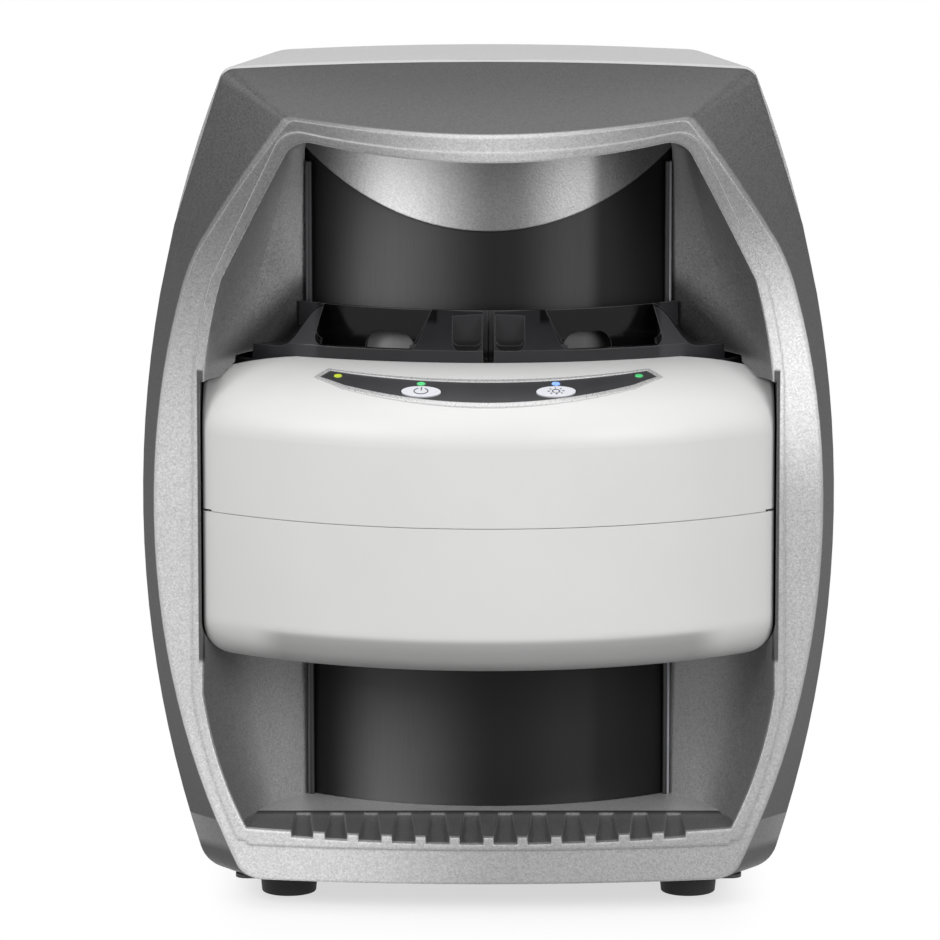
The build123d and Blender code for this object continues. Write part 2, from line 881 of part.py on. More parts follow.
for name, plane in lamp_planes.items():
    with BuildPart() as led_lens:
        with BuildSketch(plane.offset(-unit_wall - led_seat)):
            Ellipse(led_length / 2, led_width / 2)
        extrude(amount=unit_wall + led_seat + led_proud)
        fillet(led_lens.faces().sort_by(Axis(plane.origin, plane.z_dir))[-1].edges(), led_proud / 2)
    led_lens.part.label = name
    export_step(led_lens.part, f"parts/{name}.step")

# Switch board behind the panel, with one small switch under each button
board_plane = Plane(
    origin=(power_plane.origin + eraser_plane.origin) / 2,
    x_dir=(1, 0, 0),
    z_dir=power_plane.z_dir + eraser_plane.z_dir,
)
with BuildPart() as panel_board:
    with BuildSketch(board_plane.offset(-board_drop)):
        Rectangle(panel_board_width, panel_board_depth)
    extrude(amount=-board_thickness)
    with BuildSketch(board_plane.offset(-board_drop)):
        with Locations((-board_peg_x, 0), (board_peg_x, 0)):
            Circle(board_peg_radius)
    extrude(amount=board_peg_height)
panel_board.part.label = "panel_board"
export_step(panel_board.part, "parts/panel_board.step")


def radial_plane(turn, radius, z):
    # Upright plane facing out from the drum's axis, at an angle from the front
    swing = math.radians(turn)
    out = (math.sin(swing), -math.cos(swing), 0)
    origin = (radius * out[0], drum_axis_y + radius * out[1], z)
    return Plane(origin=origin, x_dir=(-out[1], out[0], 0), z_dir=out)


def arc_band(inner, outer, half_angle, z):
    # Flat band around the front of the drum's axis, as a sketch at height z
    side = 2 * outer * math.sin(math.radians(half_angle))
    depth = drum_axis_y - 2 * outer * math.cos(math.radians(half_angle))
    with BuildSketch(Plane.XY.offset(z)) as band:
        with Locations((0, drum_axis_y)):
            Circle(outer)
            Circle(inner, mode=Mode.SUBTRACT)
        with BuildLine():
            Polyline((0, drum_axis_y), (side, depth), (0, depth - 2 * outer), (-side, depth), close=True)
        make_face(mode=Mode.INTERSECT)
    return band.sketch


# Entry guide: a gloss moulding in two halves, each with a lip, a pocket and half of the middle block
wing_start = (wing_foot_half, wing_foot_z)
wing_low = (wing_foot_half - wing_sweep, wing_foot_z)
wing_high = (wing_rim_half + wing_sweep, guide_rim_z)
wing_end = (wing_rim_half, guide_rim_z)
well_floor_z = guide_floor_z + guide_floor
slot_radius = drum_radius + guide_slot
wall_height = guide_rim_z - guide_floor_z

with BuildPart() as guide_view:
    # Front view of one half: a level end, the S curve and the raised rim
    with BuildSketch(upright(guide_back_y)):
        with BuildLine():
            Polyline(
                (0, guide_rim_z),
                (0, guide_floor_z),
                (guide_half_width, guide_floor_z),
                (guide_half_width, wing_foot_z),
                wing_start,
            )
            Bezier(wing_start, wing_low, wing_high, wing_end)
            Line(wing_end, (0, guide_rim_z))
        make_face()
    extrude(amount=guide_back_y - guide_front_y)

with BuildPart() as guide_well:
    # Room behind the lip, between the middle block and the wing
    extrude(guide_outline(-flange_lip_width, well_floor_z), flange_lip_height)
    with Locations(((block_lip_half + pocket_low_half) / 2, guide_front_y, guide_floor_z)):
        Box(
            pocket_low_half - block_lip_half,
            unit_front_radius,
            wall_height,
            align=standing,
            mode=Mode.INTERSECT,
        )

with BuildPart() as guide_room:
    # Space left for the guide by the bezel: the notch, the alcove above it and behind
    with Locations((0, guide_front_y, unit_top_z)):
        Box(2 * unit_half_width, unit_front_radius, unit_top_z, align=(Align.CENTER, Align.CENTER, Align.MAX))
    with Locations((0, alcove_back_y + part_gap, unit_top_z)):
        Box(2 * unit_half_width, unit_front_radius, wall_height, align=(Align.CENTER, Align.MIN, Align.MIN))
    add(alcove_block(-part_gap))

with BuildPart() as guide_half:
    extrude(guide_outline(0, guide_floor_z), lip_top_z - guide_floor_z)
    loft([guide_outline(0, lip_top_z), guide_outline(-guide_slope, guide_rim_z)], ruled=True)
    add(guide_view.part, mode=Mode.INTERSECT)
    with BuildSketch(upright(guide_back_y)) as pocket:
        with BuildLine():
            Polyline(
                (block_lip_half, lip_top_z),
                (pocket_low_half, lip_top_z),
                (pocket_high_half, guide_rim_z),
                (block_rim_half, guide_rim_z),
                close=True,
            )
        make_face()
        fillet(pocket.vertices().group_by(Axis.Y)[0], pocket_round)
    extrude(amount=guide_back_y - guide_front_y, mode=Mode.SUBTRACT)
    add(guide_well.part, mode=Mode.SUBTRACT)
    with BuildSketch(upright(niche_back_y)) as niche:
        with Locations((niche_x, lip_top_z)):
            Rectangle(niche_width, wall_height, align=(Align.CENTER, Align.MIN))
        fillet(niche.vertices().group_by(Axis.Y)[0], niche_round)
        with Locations((niche_x, guide_rim_z - niche_head)):
            Rectangle(2 * niche_width, wall_height, align=(Align.CENTER, Align.MIN), mode=Mode.SUBTRACT)
    extrude(amount=niche_back_y - guide_front_y, mode=Mode.SUBTRACT)
    with Locations((0, guide_back_y, well_floor_z)):
        Box(slot_width, 2 * unit_front_radius, wall_height, align=standing, mode=Mode.SUBTRACT)
    extrude(arc_band(slot_radius, slot_radius + guide_wall, guide_half_angle, guide_floor_z), wall_height)
    add(guide_room.part, mode=Mode.INTERSECT)
    with Locations((0, drum_axis_y, guide_floor_z)):
        Cylinder(slot_radius, wall_height, align=standing, mode=Mode.SUBTRACT)
    with BuildSketch(radial_plane(window_angle, slot_radius, well_floor_z)) as window:
        Rectangle(window_width, window_height, align=(Align.CENTER, Align.MIN))
        fillet(window.vertices().group_by(Axis.Y)[-1], window_round)
    extrude(amount=2 * guide_wall, both=True, mode=Mode.SUBTRACT)
    with Locations((part_gap / 2, guide_back_y, guide_floor_z)):
        Box(
            unit_front_radius,
            2 * unit_front_radius,
            wall_height,
            align=(Align.MAX, Align.CENTER, Align.MIN),
            mode=Mode.SUBTRACT,
        )

right_entry_guide = guide_half.part
left_entry_guide = mirror(right_entry_guide, about=Plane.YZ)
right_entry_guide.label = "right_entry_guide"
left_entry_guide.label = "left_entry_guide"
export_step(right_entry_guide, "parts/right_entry_guide.step")
export_step(left_entry_guide, "parts/left_entry_guide.step")

# Drum with its scan slit, the bright cap over its top and the trims at its edges
with BuildPart() as drum_shell:
    drum_height = drum_top_z - floor_z
    extrude(arc_band(drum_radius - drum_wall, drum_radius, drum_half_angle, floor_z), drum_height)
    slit_band = arc_band(drum_radius - 2 * drum_wall, drum_radius + drum_wall, scan_slit_half_angle, scan_slit_z)
    extrude(slit_band, scan_slit_height, mode=Mode.SUBTRACT)
drum_shell.part.label = "drum_shell"
export_step(drum_shell.part, "parts/drum_shell.step")

with BuildPart() as drum_cap:
    cap_inner = drum_radius + part_gap
    cap_band = arc_band(cap_inner, cap_inner + cap_thickness, cap_half_angle, cap_front_z)
    extrude(cap_band, drum_top_z - cap_front_z)
    with BuildSketch(Plane.YZ):
        with BuildLine():
            foot_y = drum_axis_y - cap_inner - cap_thickness
            rise = (drum_axis_y - foot_y) * math.tan(math.radians(cap_slope))
            Polyline(
                (foot_y, cap_front_z),
                (drum_axis_y, cap_front_z + rise),
                (foot_y, cap_front_z + rise),
                close=True,
            )
        make_face()
    extrude(amount=drum_radius, both=True, mode=Mode.INTERSECT)
drum_cap.part.label = "drum_cap"
export_step(drum_cap.part, "parts/drum_cap.step")

trim_inner_y = drum_axis_y - math.sqrt((drum_radius + part_gap) ** 2 - trim_inner_half**2)
for name, side in (("left_drum_trim", -1), ("right_drum_trim", 1)):
    with BuildPart() as drum_trim:
        with BuildSketch(Plane.XY.offset(tray_shelf_z)):
            with Locations((side * (trim_inner_half + trim_width / 2), trim_inner_y)):
                Rectangle(trim_width, trim_depth, align=(Align.CENTER, Align.MAX))
        extrude(amount=trim_top_z - tray_shelf_z)
        fillet(drum_trim.edges().filter_by(Axis.Z).group_by(Axis.Y)[0], trim_round)
    drum_trim.part.label = name
    export_step(drum_trim.part, f"parts/{name}.step")

# Base plate, feet and their screws
with BuildPart() as base_plate:
    with BuildSketch(Plane.XY.offset(foot_height)) as plate_sketch:
        with BuildLine():
            Polyline(
                (-base_front_half_width, base_front_y),
                (base_front_half_width, base_front_y),
                (base_back_half_width, base_back_y),
                (-base_back_half_width, base_back_y),
                close=True,
            )
        make_face()
        fillet(plate_sketch.vertices(), base_corner_radius)
        with Locations(*foot_places):
            Circle(screw_radius, mode=Mode.SUBTRACT)
    extrude(amount=base_thickness)
base_plate.part.label = "base_plate"
export_step(base_plate.part, "parts/base_plate.step")

with BuildPart() as feet:
    with BuildSketch(Plane.XY):
        with Locations(*foot_places):
            Circle(foot_radius - foot_draft)
    extrude(amount=foot_height, taper=-foot_taper)
    fillet(feet.edges().group_by(Axis.Z)[0], foot_edge_round)
    with BuildSketch(Plane.XY):
        with Locations(*foot_places):
            Circle(foot_pocket_radius)
    extrude(amount=foot_pocket_depth, mode=Mode.SUBTRACT)
    with BuildSketch(Plane.XY):
        with Locations(*foot_places):
            Circle(screw_radius + screw_clearance)
    extrude(amount=foot_height, mode=Mode.SUBTRACT)
feet.part.label = "feet"
export_step(feet.part, "parts/feet.step")

with BuildPart() as foot_screws:
    with BuildSketch(Plane.XY.offset(foot_pocket_depth - screw_head_height)):
        with Locations(*foot_places):
            Circle(screw_head_radius)
    extrude(amount=screw_head_height)
    fillet(foot_screws.edges().group_by(Axis.Z)[0], screw_head_round)
    with BuildSketch(Plane.XY.offset(foot_pocket_depth)):
        with Locations(*foot_places):
            Circle(screw_radius)
    extrude(amount=floor_z + foot_screw_reach - foot_pocket_depth)
foot_screws.part.label = "foot_screws"
export_step(foot_screws.part, "parts/foot_screws.step")

# Upright side frames and the rear chassis panel between them
frame_back_y = cover_back_y - housing_wall - panel_clearance - sheet_thickness
for name, side in (("left_side_frame", -1), ("right_side_frame", 1)):
    with BuildPart() as side_frame:
        with BuildSketch(Plane.YZ.offset(side * (frame_half_width + sheet_thickness / 2))):
            with BuildLine():
                Polyline(
                    (frame_front_y, floor_z),
                    (frame_foot_back_y, floor_z),
                    (frame_back_y, panel_bottom_z),
                    (frame_back_y, panel_top_z),
                    (frame_bend_y, frame_top_z),
                    (frame_front_y, frame_top_z),
                    close=True,
                )
            make_face()
            with Locations((frame_window_y, frame_window_low_z), (frame_window_y, frame_window_high_z)):
                RectangleRounded(frame_window_width, frame_window_height, frame_window_round, mode=Mode.SUBTRACT)
        extrude(amount=sheet_thickness / 2, both=True)
    side_frame.part.label = name
    export_step(side_frame.part, f"parts/{name}.step")

with BuildPart() as rear_chassis_panel:
    with BuildSketch(upright(frame_back_y + sheet_thickness)):
        with Locations((0, (panel_bottom_z + panel_top_z) / 2)):
            Rectangle(2 * (frame_half_width + sheet_thickness), panel_top_z - panel_bottom_z)
        with Locations((inlet_x, socket_z)):
            Rectangle(inlet_width, inlet_height, mode=Mode.SUBTRACT)
        with Locations((switch_x, socket_z)):
            Rectangle(switch_width, switch_height, mode=Mode.SUBTRACT)
        with Locations((data_port_x, socket_z)):
            Rectangle(data_port_width, data_port_height, mode=Mode.SUBTRACT)
        with Locations((fan_x, fan_z)):
            Circle(fan_bore_radius, mode=Mode.SUBTRACT)
        with Locations(*rear_screw_places):
            Circle(screw_radius, mode=Mode.SUBTRACT)
    extrude(amount=sheet_thickness)
rear_chassis_panel.part.label = "rear_chassis_panel"
export_step(rear_chassis_panel.part, "parts/rear_chassis_panel.step")

with BuildPart() as rear_screws:
    with BuildSketch(upright(cover_back_y)):
        with Locations(*rear_screw_places):
            Circle(screw_head_radius)
    extrude(amount=-screw_head_height)
    fillet(rear_screws.edges().group_by(Axis.Y)[-1], screw_head_round)
    with BuildSketch(upright(cover_back_y)):
        with Locations(*rear_screw_places):
            Circle(screw_radius)
    extrude(amount=rear_screw_reach)
rear_screws.part.label = "rear_screws"
export_step(rear_screws.part, "parts/rear_screws.step")


# Plate transport: belts pressed to the drum, carried by rollers in a ribbed frame
def roller_plane(turn, z, shift=0):
    # Plane across a roller's axle at its middle, moved out from the drum by shift
    swing = math.radians(turn)
    reach = roller_axis_radius + shift
    along = (math.cos(swing), math.sin(swing), 0)
    origin = (reach * math.sin(swing), drum_axis_y - reach * math.cos(swing), z)
    return Plane(origin=origin, x_dir=(math.sin(swing), -math.cos(swing), 0), z_dir=along)


def belt_loop(plane, spread, inner, width):
    # Endless belt round two equal pulleys, the second standing at spread along local y
    with BuildPart() as loop:
        with BuildSketch(plane):
            with Locations((0, spread / 2)):
                SlotCenterToCenter(spread, 2 * (inner + belt_thickness), rotation=90)
                SlotCenterToCenter(spread, 2 * inner, rotation=90, mode=Mode.SUBTRACT)
        extrude(amount=width / 2, both=True)
    return loop.part


def roller(turn, z):
    # Axle with a flanged belt pulley in the middle
    with BuildPart() as body:
        plane = roller_plane(turn, z)
        with BuildSketch(plane):
            Circle(axle_radius)
        extrude(amount=axle_half_length, both=True)
        with BuildSketch(plane):
            Circle(belt_pulley_radius)
        extrude(amount=belt_pulley_width / 2 + belt_flange_width, both=True)
        for side in (-1, 1):
            with BuildSketch(plane.offset(side * belt_pulley_width / 2)):
                Circle(belt_flange_radius)
            extrude(amount=side * belt_flange_width)
    return body.part


rib_low_z = idler_z - rib_low_drop
wall_top_z = guide_floor_z - guide_floor
outer_turn = rib_turn * (roller_count - 1) / 2
with BuildPart() as transport_frame:
    for z, thickness, outer, half in (
        (wall_top_z, guide_floor, guide_plate_radius, flange_half_width),
        (bottom_plate_z, sheet_thickness, bottom_plate_radius, bottom_plate_half_width),
    ):
        with BuildSketch(Plane.XY.offset(z)):
            with Locations((0, drum_axis_y)):
                Circle(outer)
            with Locations((0, frame_front_y)):
                Rectangle(2 * half, unit_front_radius, align=(Align.CENTER, Align.MAX), mode=Mode.INTERSECT)
            with Locations((0, drum_axis_y)):
                Circle(rib_inner_radius, mode=Mode.SUBTRACT)
        extrude(amount=thickness)
    extrude(
        arc_band(rib_outer_radius, rib_outer_radius + sheet_thickness, rib_turn * roller_count / 2, bottom_plate_z),
        wall_top_z - bottom_plate_z,
    )
    for number in range(roller_count + 1):
        turn = (number - roller_count / 2) * rib_turn
        with BuildSketch(radial_plane(turn, rib_inner_radius, rib_low_z)):
            Rectangle(rib_thickness, wall_top_z - rib_low_z, align=(Align.CENTER, Align.MIN))
        extrude(amount=rib_outer_radius - rib_inner_radius + sheet_thickness / 2)
    for side in (-1, 1):
        with BuildSketch(upright(frame_front_y)):
            with Locations((side * (frame_half_width + flange_half_width) / 2, side_plate_low_z)):
                Rectangle(
                    flange_half_width - frame_half_width,
                    guide_floor_z - side_plate_low_z,
                    align=(Align.CENTER, Align.MIN),
                )
        extrude(amount=sheet_thickness)
        with BuildSketch(Plane.YZ.offset(side * (flange_half_width - sheet_thickness / 2))):
            with Locations((frame_front_y, side_plate_low_z)):
                Rectangle(
                    frame_front_y - side_plate_front_y,
                    side_plate_top_z - side_plate_low_z,
                    align=(Align.MAX, Align.MIN),
                )
        extrude(amount=sheet_thickness / 2, both=True)
    for number in range(roller_count):
        turn = number * rib_turn - outer_turn
        for z in (drive_z, idler_z):
            with BuildSketch(roller_plane(turn, z)):
                Circle(axle_radius + axle_clearance)
            extrude(amount=axle_half_length + axle_end_gap, both=True, mode=Mode.SUBTRACT)
    driven_plane = roller_plane(outer_turn, drive_z)
    with BuildSketch(driven_plane):
        Circle(axle_radius + axle_clearance)
    extrude(amount=timing_end, mode=Mode.SUBTRACT)
    motor_plane = roller_plane(outer_turn, drive_z, motor_shift)
    with BuildSketch(motor_plane.offset(motor_face)):
        with Locations(((motor_radius - bracket_inner) / 2, 0)):
            Rectangle(motor_radius + bracket_inner, 2 * motor_radius)
    extrude(amount=sheet_thickness)
    with BuildSketch(motor_plane.offset(motor_face)):
        Circle(motor_nose_radius)
    extrude(amount=sheet_thickness, mode=Mode.SUBTRACT)
transport_frame.part.label = "transport_frame"
export_step(transport_frame.part, "parts/transport_frame.step")

with BuildPart() as transport_belts:
    for number in range(roller_count):
        turn = number * rib_turn - outer_turn
        plane = roller_plane(turn, drive_z)
        add(belt_loop(plane, drive_z - idler_z, belt_pulley_radius + part_gap, belt_width))
transport_belts.part.label = "transport_belts"
export_step(transport_belts.part, "parts/transport_belts.step")

for number in range(roller_count):
    turn = number * rib_turn - outer_turn
    for kind, z in (("drive_roller", drive_z), ("idler_roller", idler_z)):
        with BuildPart() as turned:
            add(roller(turn, z))
            if kind == "drive_roller" and number == roller_count - 1:
                with BuildSketch(driven_plane):
                    Circle(axle_radius)
                extrude(amount=timing_end)
                with BuildSketch(driven_plane.offset(timing_start)):
                    Circle(timing_pulley_radius)
                extrude(amount=timing_end - timing_start)
        turned.part.label = f"{kind}_{number + 1}"
        export_step(turned.part, f"parts/{kind}_{number + 1}.step")

with BuildPart() as transport_motor:
    with BuildSketch(motor_plane.offset(motor_face)):
        Circle(motor_radius)
    extrude(amount=-motor_length)
    fillet(transport_motor.edges(), motor_edge_round)
    with BuildSketch(motor_plane.offset(motor_face)):
        Circle(motor_nose_radius)
    extrude(amount=sheet_thickness)
    with BuildSketch(motor_plane.offset(motor_face + sheet_thickness)):
        Circle(motor_shaft_radius + axle_clearance)
    extrude(amount=-motor_bore_depth, mode=Mode.SUBTRACT)
transport_motor.part.label = "transport_motor"
export_step(transport_motor.part, "parts/transport_motor.step")

with BuildPart() as motor_pulley:
    with BuildSketch(motor_plane.offset(timing_start)):
        Circle(timing_pulley_radius)
    extrude(amount=timing_end - timing_start)
    with BuildSketch(motor_plane.offset(timing_start)):
        Circle(motor_shaft_radius)
    extrude(amount=motor_face + sheet_thickness - motor_bore_depth + axle_end_gap - timing_start)
motor_pulley.part.label = "motor_pulley"
export_step(motor_pulley.part, "parts/motor_pulley.step")

with BuildPart() as timing_belt:
    timing_middle = (timing_start + timing_end) / 2
    flat = Plane(
        origin=driven_plane.offset(timing_middle).origin,
        x_dir=(0, 0, 1),
        z_dir=driven_plane.z_dir,
    )
    add(belt_loop(flat, motor_shift, timing_pulley_radius + part_gap, timing_end - timing_start))
timing_belt.part.label = "timing_belt"
export_step(timing_belt.part, "parts/timing_belt.step")

# Eraser: a curved board with a row of lamps that clears the plates on their way out
with BuildPart() as eraser_board:
    board_z = bottom_plate_z + sheet_thickness
    extrude(arc_band(eraser_radius, eraser_radius + board_thickness, eraser_half_angle, board_z), eraser_height)
eraser_board.part.label = "eraser_board"
export_step(eraser_board.part, "parts/eraser_board.step")

with BuildPart() as eraser_lamps:
    for number in range(eraser_lamp_count):
        turn = (number - (eraser_lamp_count - 1) / 2) * eraser_lamp_turn
        with BuildSketch(radial_plane(turn, eraser_radius - lamp_size, board_z + eraser_height / 2)):
            Rectangle(lamp_size, lamp_size)
        extrude(amount=lamp_size - lamp_seat_gap)
eraser_lamps.part.label = "eraser_lamps"
export_step(eraser_lamps.part, "parts/eraser_lamps.step")

# Scanner core inside the drum
with BuildPart() as optics_shelf:
    for z in (optics_shelf_z, optics_top_z):
        with BuildSketch(Plane.XY.offset(z)):
            with Locations((0, drum_axis_y)):
                Circle(drum_radius - drum_wall - part_gap)
            with Locations((0, shelf_back_y)):
                Rectangle(2 * frame_half_width, 2 * drum_radius, align=(Align.CENTER, Align.MAX), mode=Mode.INTERSECT)
        extrude(amount=shelf_thickness)
    for x in (-shelf_post_x, shelf_post_x):
        with BuildSketch(Plane.XY.offset(optics_shelf_z)):
            with Locations((x, shelf_post_y)):
                Circle(shelf_post_radius)
        extrude(amount=optics_top_z - optics_shelf_z)
optics_shelf.part.label = "optics_shelf"
export_step(optics_shelf.part, "parts/optics_shelf.step")

spin_plane = Plane((0, drum_axis_y, optics_shelf_z + shelf_thickness))
with BuildPart() as spinner_motor:
    with BuildSketch(spin_plane):
        Circle(spinner_radius)
    extrude(amount=spinner_height)
    fillet(spinner_motor.edges().group_by(Axis.Z)[-1], motor_edge_round)
    with BuildSketch(spin_plane.offset(spinner_height)):
        Circle(motor_shaft_radius + axle_clearance)
    extrude(amount=-motor_bore_depth, mode=Mode.SUBTRACT)
spinner_motor.part.label = "spinner_motor"
export_step(spinner_motor.part, "parts/spinner_motor.step")

with BuildPart() as scan_rotor:
    with BuildSketch(spin_plane.offset(spinner_height - motor_bore_depth + axle_end_gap)):
        Circle(motor_shaft_radius)
    extrude(amount=motor_bore_depth - axle_end_gap + rotor_lift)
    with BuildSketch(spin_plane.offset(spinner_height + rotor_lift)):
        Circle(rotor_disc_radius)
    extrude(amount=rotor_disc_height)
    with BuildSketch(spin_plane.offset(spinner_height + rotor_lift + rotor_disc_height)):
        Circle(rotor_head_radius)
    extrude(amount=rotor_head_base + 2 * rotor_head_radius)
    mirror_z = spin_plane.origin.Z + spinner_height + rotor_lift + rotor_disc_height + rotor_head_base
    with BuildSketch(Plane.YZ):
        with BuildLine():
            Polyline(
                (drum_axis_y - rotor_head_radius, mirror_z),
                (drum_axis_y - rotor_head_radius, mirror_z + 2 * rotor_head_radius),
                (drum_axis_y + rotor_head_radius, mirror_z + 2 * rotor_head_radius),
                close=True,
            )
        make_face()
    extrude(amount=rotor_disc_radius, both=True, mode=Mode.SUBTRACT)
scan_rotor.part.label = "scan_rotor"
export_step(scan_rotor.part, "parts/scan_rotor.step")

with BuildPart() as laser_module:
    with BuildSketch(Plane.XY.offset(optics_top_z)):
        with Locations((0, drum_axis_y)):
            RectangleRounded(laser_width, laser_width, laser_corner)
    extrude(amount=-laser_height)
    with BuildSketch(Plane.XY.offset(optics_top_z - laser_height)):
        with Locations((0, drum_axis_y)):
            Circle(laser_nose_radius)
    extrude(amount=-laser_nose_height)
laser_module.part.label = "laser_module"
export_step(laser_module.part, "parts/laser_module.step")

with BuildPart() as light_collector:
    with BuildSketch(upright(drum_axis_y)):
        with BuildLine():
            Polyline(
                (collector_foot_radius, collector_low_z),
                (collector_foot_radius - collector_wall, collector_low_z),
                (collector_top_radius - collector_wall, optics_top_z),
                (collector_top_radius, optics_top_z),
                close=True,
            )
        make_face()
    revolve(axis=Axis((0, drum_axis_y, 0), (0, 0, 1)), revolution_arc=360)
    with BuildSketch(Plane.XY.offset(collector_low_z)):
        with Locations((0, drum_axis_y)):
            Rectangle(drum_radius, drum_radius, align=(Align.CENTER, Align.MAX))
    extrude(amount=optics_top_z - collector_low_z, mode=Mode.INTERSECT)
light_collector.part.label = "light_collector"
export_step(light_collector.part, "parts/light_collector.step")

with BuildPart() as photomultiplier:
    with BuildSketch(Plane.XY.offset(optics_top_z)):
        with Locations((tube_x, drum_axis_y)):
            Circle(tube_radius)
    extrude(amount=-tube_height)
    fillet(photomultiplier.edges().group_by(Axis.Z)[0], motor_edge_round)
photomultiplier.part.label = "photomultiplier"
export_step(photomultiplier.part, "parts/photomultiplier.step")

# Electronics on the base plate and on the rear chassis panel
with BuildPart() as main_board:
    with BuildSketch(upright(frame_back_y)):
        with Locations(*board_post_places):
            Circle(board_post_radius)
    extrude(amount=board_stand_off)
    with BuildSketch(upright(frame_back_y - board_stand_off)):
        with Locations((0, board_middle_z)):
            Rectangle(board_width, board_height)
    extrude(amount=board_thickness)
main_board.part.label = "main_board"
export_step(main_board.part, "parts/main_board.step")

with BuildPart() as board_components:
    with BuildSketch(upright(frame_back_y - board_stand_off - board_thickness)):
        for x, z, width, height in chip_places:
            with Locations((x, z)):
                Rectangle(width, height)
    extrude(amount=chip_height)
board_components.part.label = "board_components"
export_step(board_components.part, "parts/board_components.step")

with BuildPart() as power_supply:
    with Locations((supply_x, supply_y, floor_z)):
        Box(supply_width, supply_length, supply_height, align=standing)
    fillet(power_supply.edges().filter_by(Axis.Z), supply_corner)
power_supply.part.label = "power_supply"
export_step(power_supply.part, "parts/power_supply.step")

with BuildPart() as fan_frame:
    with BuildSketch(upright(frame_back_y)):
        with Locations((fan_x, fan_z)):
            RectangleRounded(fan_size, fan_size, fan_corner)
            Circle(fan_bore_radius, mode=Mode.SUBTRACT)
    extrude(amount=fan_depth)
    with BuildSketch(upright(frame_back_y)):
        with Locations((fan_x, fan_z)):
            Circle(fan_hub_radius)
            Rectangle(fan_size - 2 * fan_strut, fan_strut)
            Rectangle(fan_strut, fan_size - 2 * fan_strut)
    extrude(amount=fan_strut)
    with BuildSketch(upright(frame_back_y - fan_strut)):
        with Locations((fan_x, fan_z)):
            Circle(motor_shaft_radius + axle_clearance)
    extrude(amount=-fan_shaft_depth, mode=Mode.SUBTRACT)
fan_frame.part.label = "fan_frame"
export_step(fan_frame.part, "parts/fan_frame.step")

with BuildPart() as fan_rotor:
    hub_y = frame_back_y - fan_strut - axle_end_gap
    with BuildSketch(upright(hub_y)):
        with Locations((fan_x, fan_z)):
            Circle(fan_hub_radius)
    extrude(amount=fan_depth - fan_strut - 2 * axle_end_gap)
    with BuildSketch(upright(hub_y)):
        with Locations((fan_x, fan_z)):
            Circle(motor_shaft_radius)
    extrude(amount=-fan_shaft_depth)
    with BuildSketch(upright(hub_y - fan_strut)):
        with Locations((fan_x, fan_z)):
            with PolarLocations(0, fan_blade_count):
                with Locations((fan_blade_reach / 2, 0)):
                    Rectangle(fan_blade_reach, fan_blade_thickness)
    extrude(amount=fan_blade_depth)
fan_rotor.part.label = "fan_rotor"
export_step(fan_rotor.part, "parts/fan_rotor.step")

# Sockets and the power switch, let into the rear panel and the cover
socket_face_y = cover_back_y + socket_proud
with BuildPart() as power_inlet:
    with BuildSketch(upright(socket_face_y)):
        with Locations((inlet_x, socket_z)):
            Rectangle(inlet_width, inlet_height)
    extrude(amount=inlet_depth)
    with BuildSketch(upright(socket_face_y)) as inlet_mouth:
        with Locations((inlet_x, socket_z)):
            Rectangle(inlet_mouth_width, inlet_mouth_height)
        chamfer(inlet_mouth.vertices().group_by(Axis.Y)[-1], inlet_mouth_chamfer)
    extrude(amount=inlet_mouth_depth, mode=Mode.SUBTRACT)
    with BuildSketch(upright(socket_face_y - inlet_mouth_depth)):
        for x, z in ((0, inlet_pin_rise), (-inlet_pin_spread, -inlet_pin_rise), (inlet_pin_spread, -inlet_pin_rise)):
            with Locations((inlet_x + x, socket_z + z)):
                Rectangle(inlet_pin_width, inlet_pin_height)
    extrude(amount=-inlet_pin_length)
power_inlet.part.label = "power_inlet"
export_step(power_inlet.part, "parts/power_inlet.step")

with BuildPart() as switch_body:
    with BuildSketch(upright(socket_face_y)):
        with Locations((switch_x, socket_z)):
            Rectangle(switch_width, switch_height)
    extrude(amount=switch_depth)
    with BuildSketch(upright(socket_face_y)):
        with Locations((switch_x, socket_z)):
            Rectangle(rocker_width + 2 * rocker_gap, rocker_height + 2 * rocker_gap)
    extrude(amount=rocker_depth, mode=Mode.SUBTRACT)
switch_body.part.label = "switch_body"
export_step(switch_body.part, "parts/switch_body.step")

with BuildPart() as switch_rocker:
    pivot_y = socket_face_y - rocker_pivot_depth
    half_height = rocker_height / 2
    with BuildSketch(Plane.YZ.offset(switch_x)):
        with BuildLine():
            Polyline(
                (socket_face_y, socket_z),
                (socket_face_y + rocker_rise, socket_z + half_height),
                (socket_face_y + rocker_rise - rocker_edge, socket_z + half_height),
                (pivot_y - rocker_foot, socket_z),
                (socket_face_y + rocker_rise - rocker_edge, socket_z - half_height),
                (socket_face_y + rocker_rise, socket_z - half_height),
                close=True,
            )
        make_face()
    extrude(amount=rocker_width / 2, both=True)
    rocker_axis = Axis((switch_x, pivot_y, socket_z), (1, 0, 0))
rocker_body = switch_rocker.part.rotate(rocker_axis, rocker_tilt)
rocker_body.label = "switch_rocker"
export_step(rocker_body, "parts/switch_rocker.step")

with BuildPart() as data_port:
    with BuildSketch(upright(socket_face_y)):
        with Locations((data_port_x, socket_z)):
            Rectangle(data_port_width, data_port_height)
            Rectangle(data_port_width - 2 * data_port_wall, data_port_height - 2 * data_port_wall, mode=Mode.SUBTRACT)
    extrude(amount=data_port_depth)
    with BuildSketch(upright(socket_face_y - data_port_depth)):
        with Locations((data_port_x, socket_z)):
            Rectangle(data_port_width, data_port_height)
    extrude(amount=data_port_wall)
    with BuildSketch(upright(socket_face_y - data_port_depth)):
        with Locations((data_port_x, socket_z)):
            Rectangle(data_port_tongue, data_port_tongue)
    extrude(amount=-data_port_tongue_length)
data_port.part.label = "data_port"
export_step(data_port.part, "parts/data_port.step")
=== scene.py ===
import json
import math

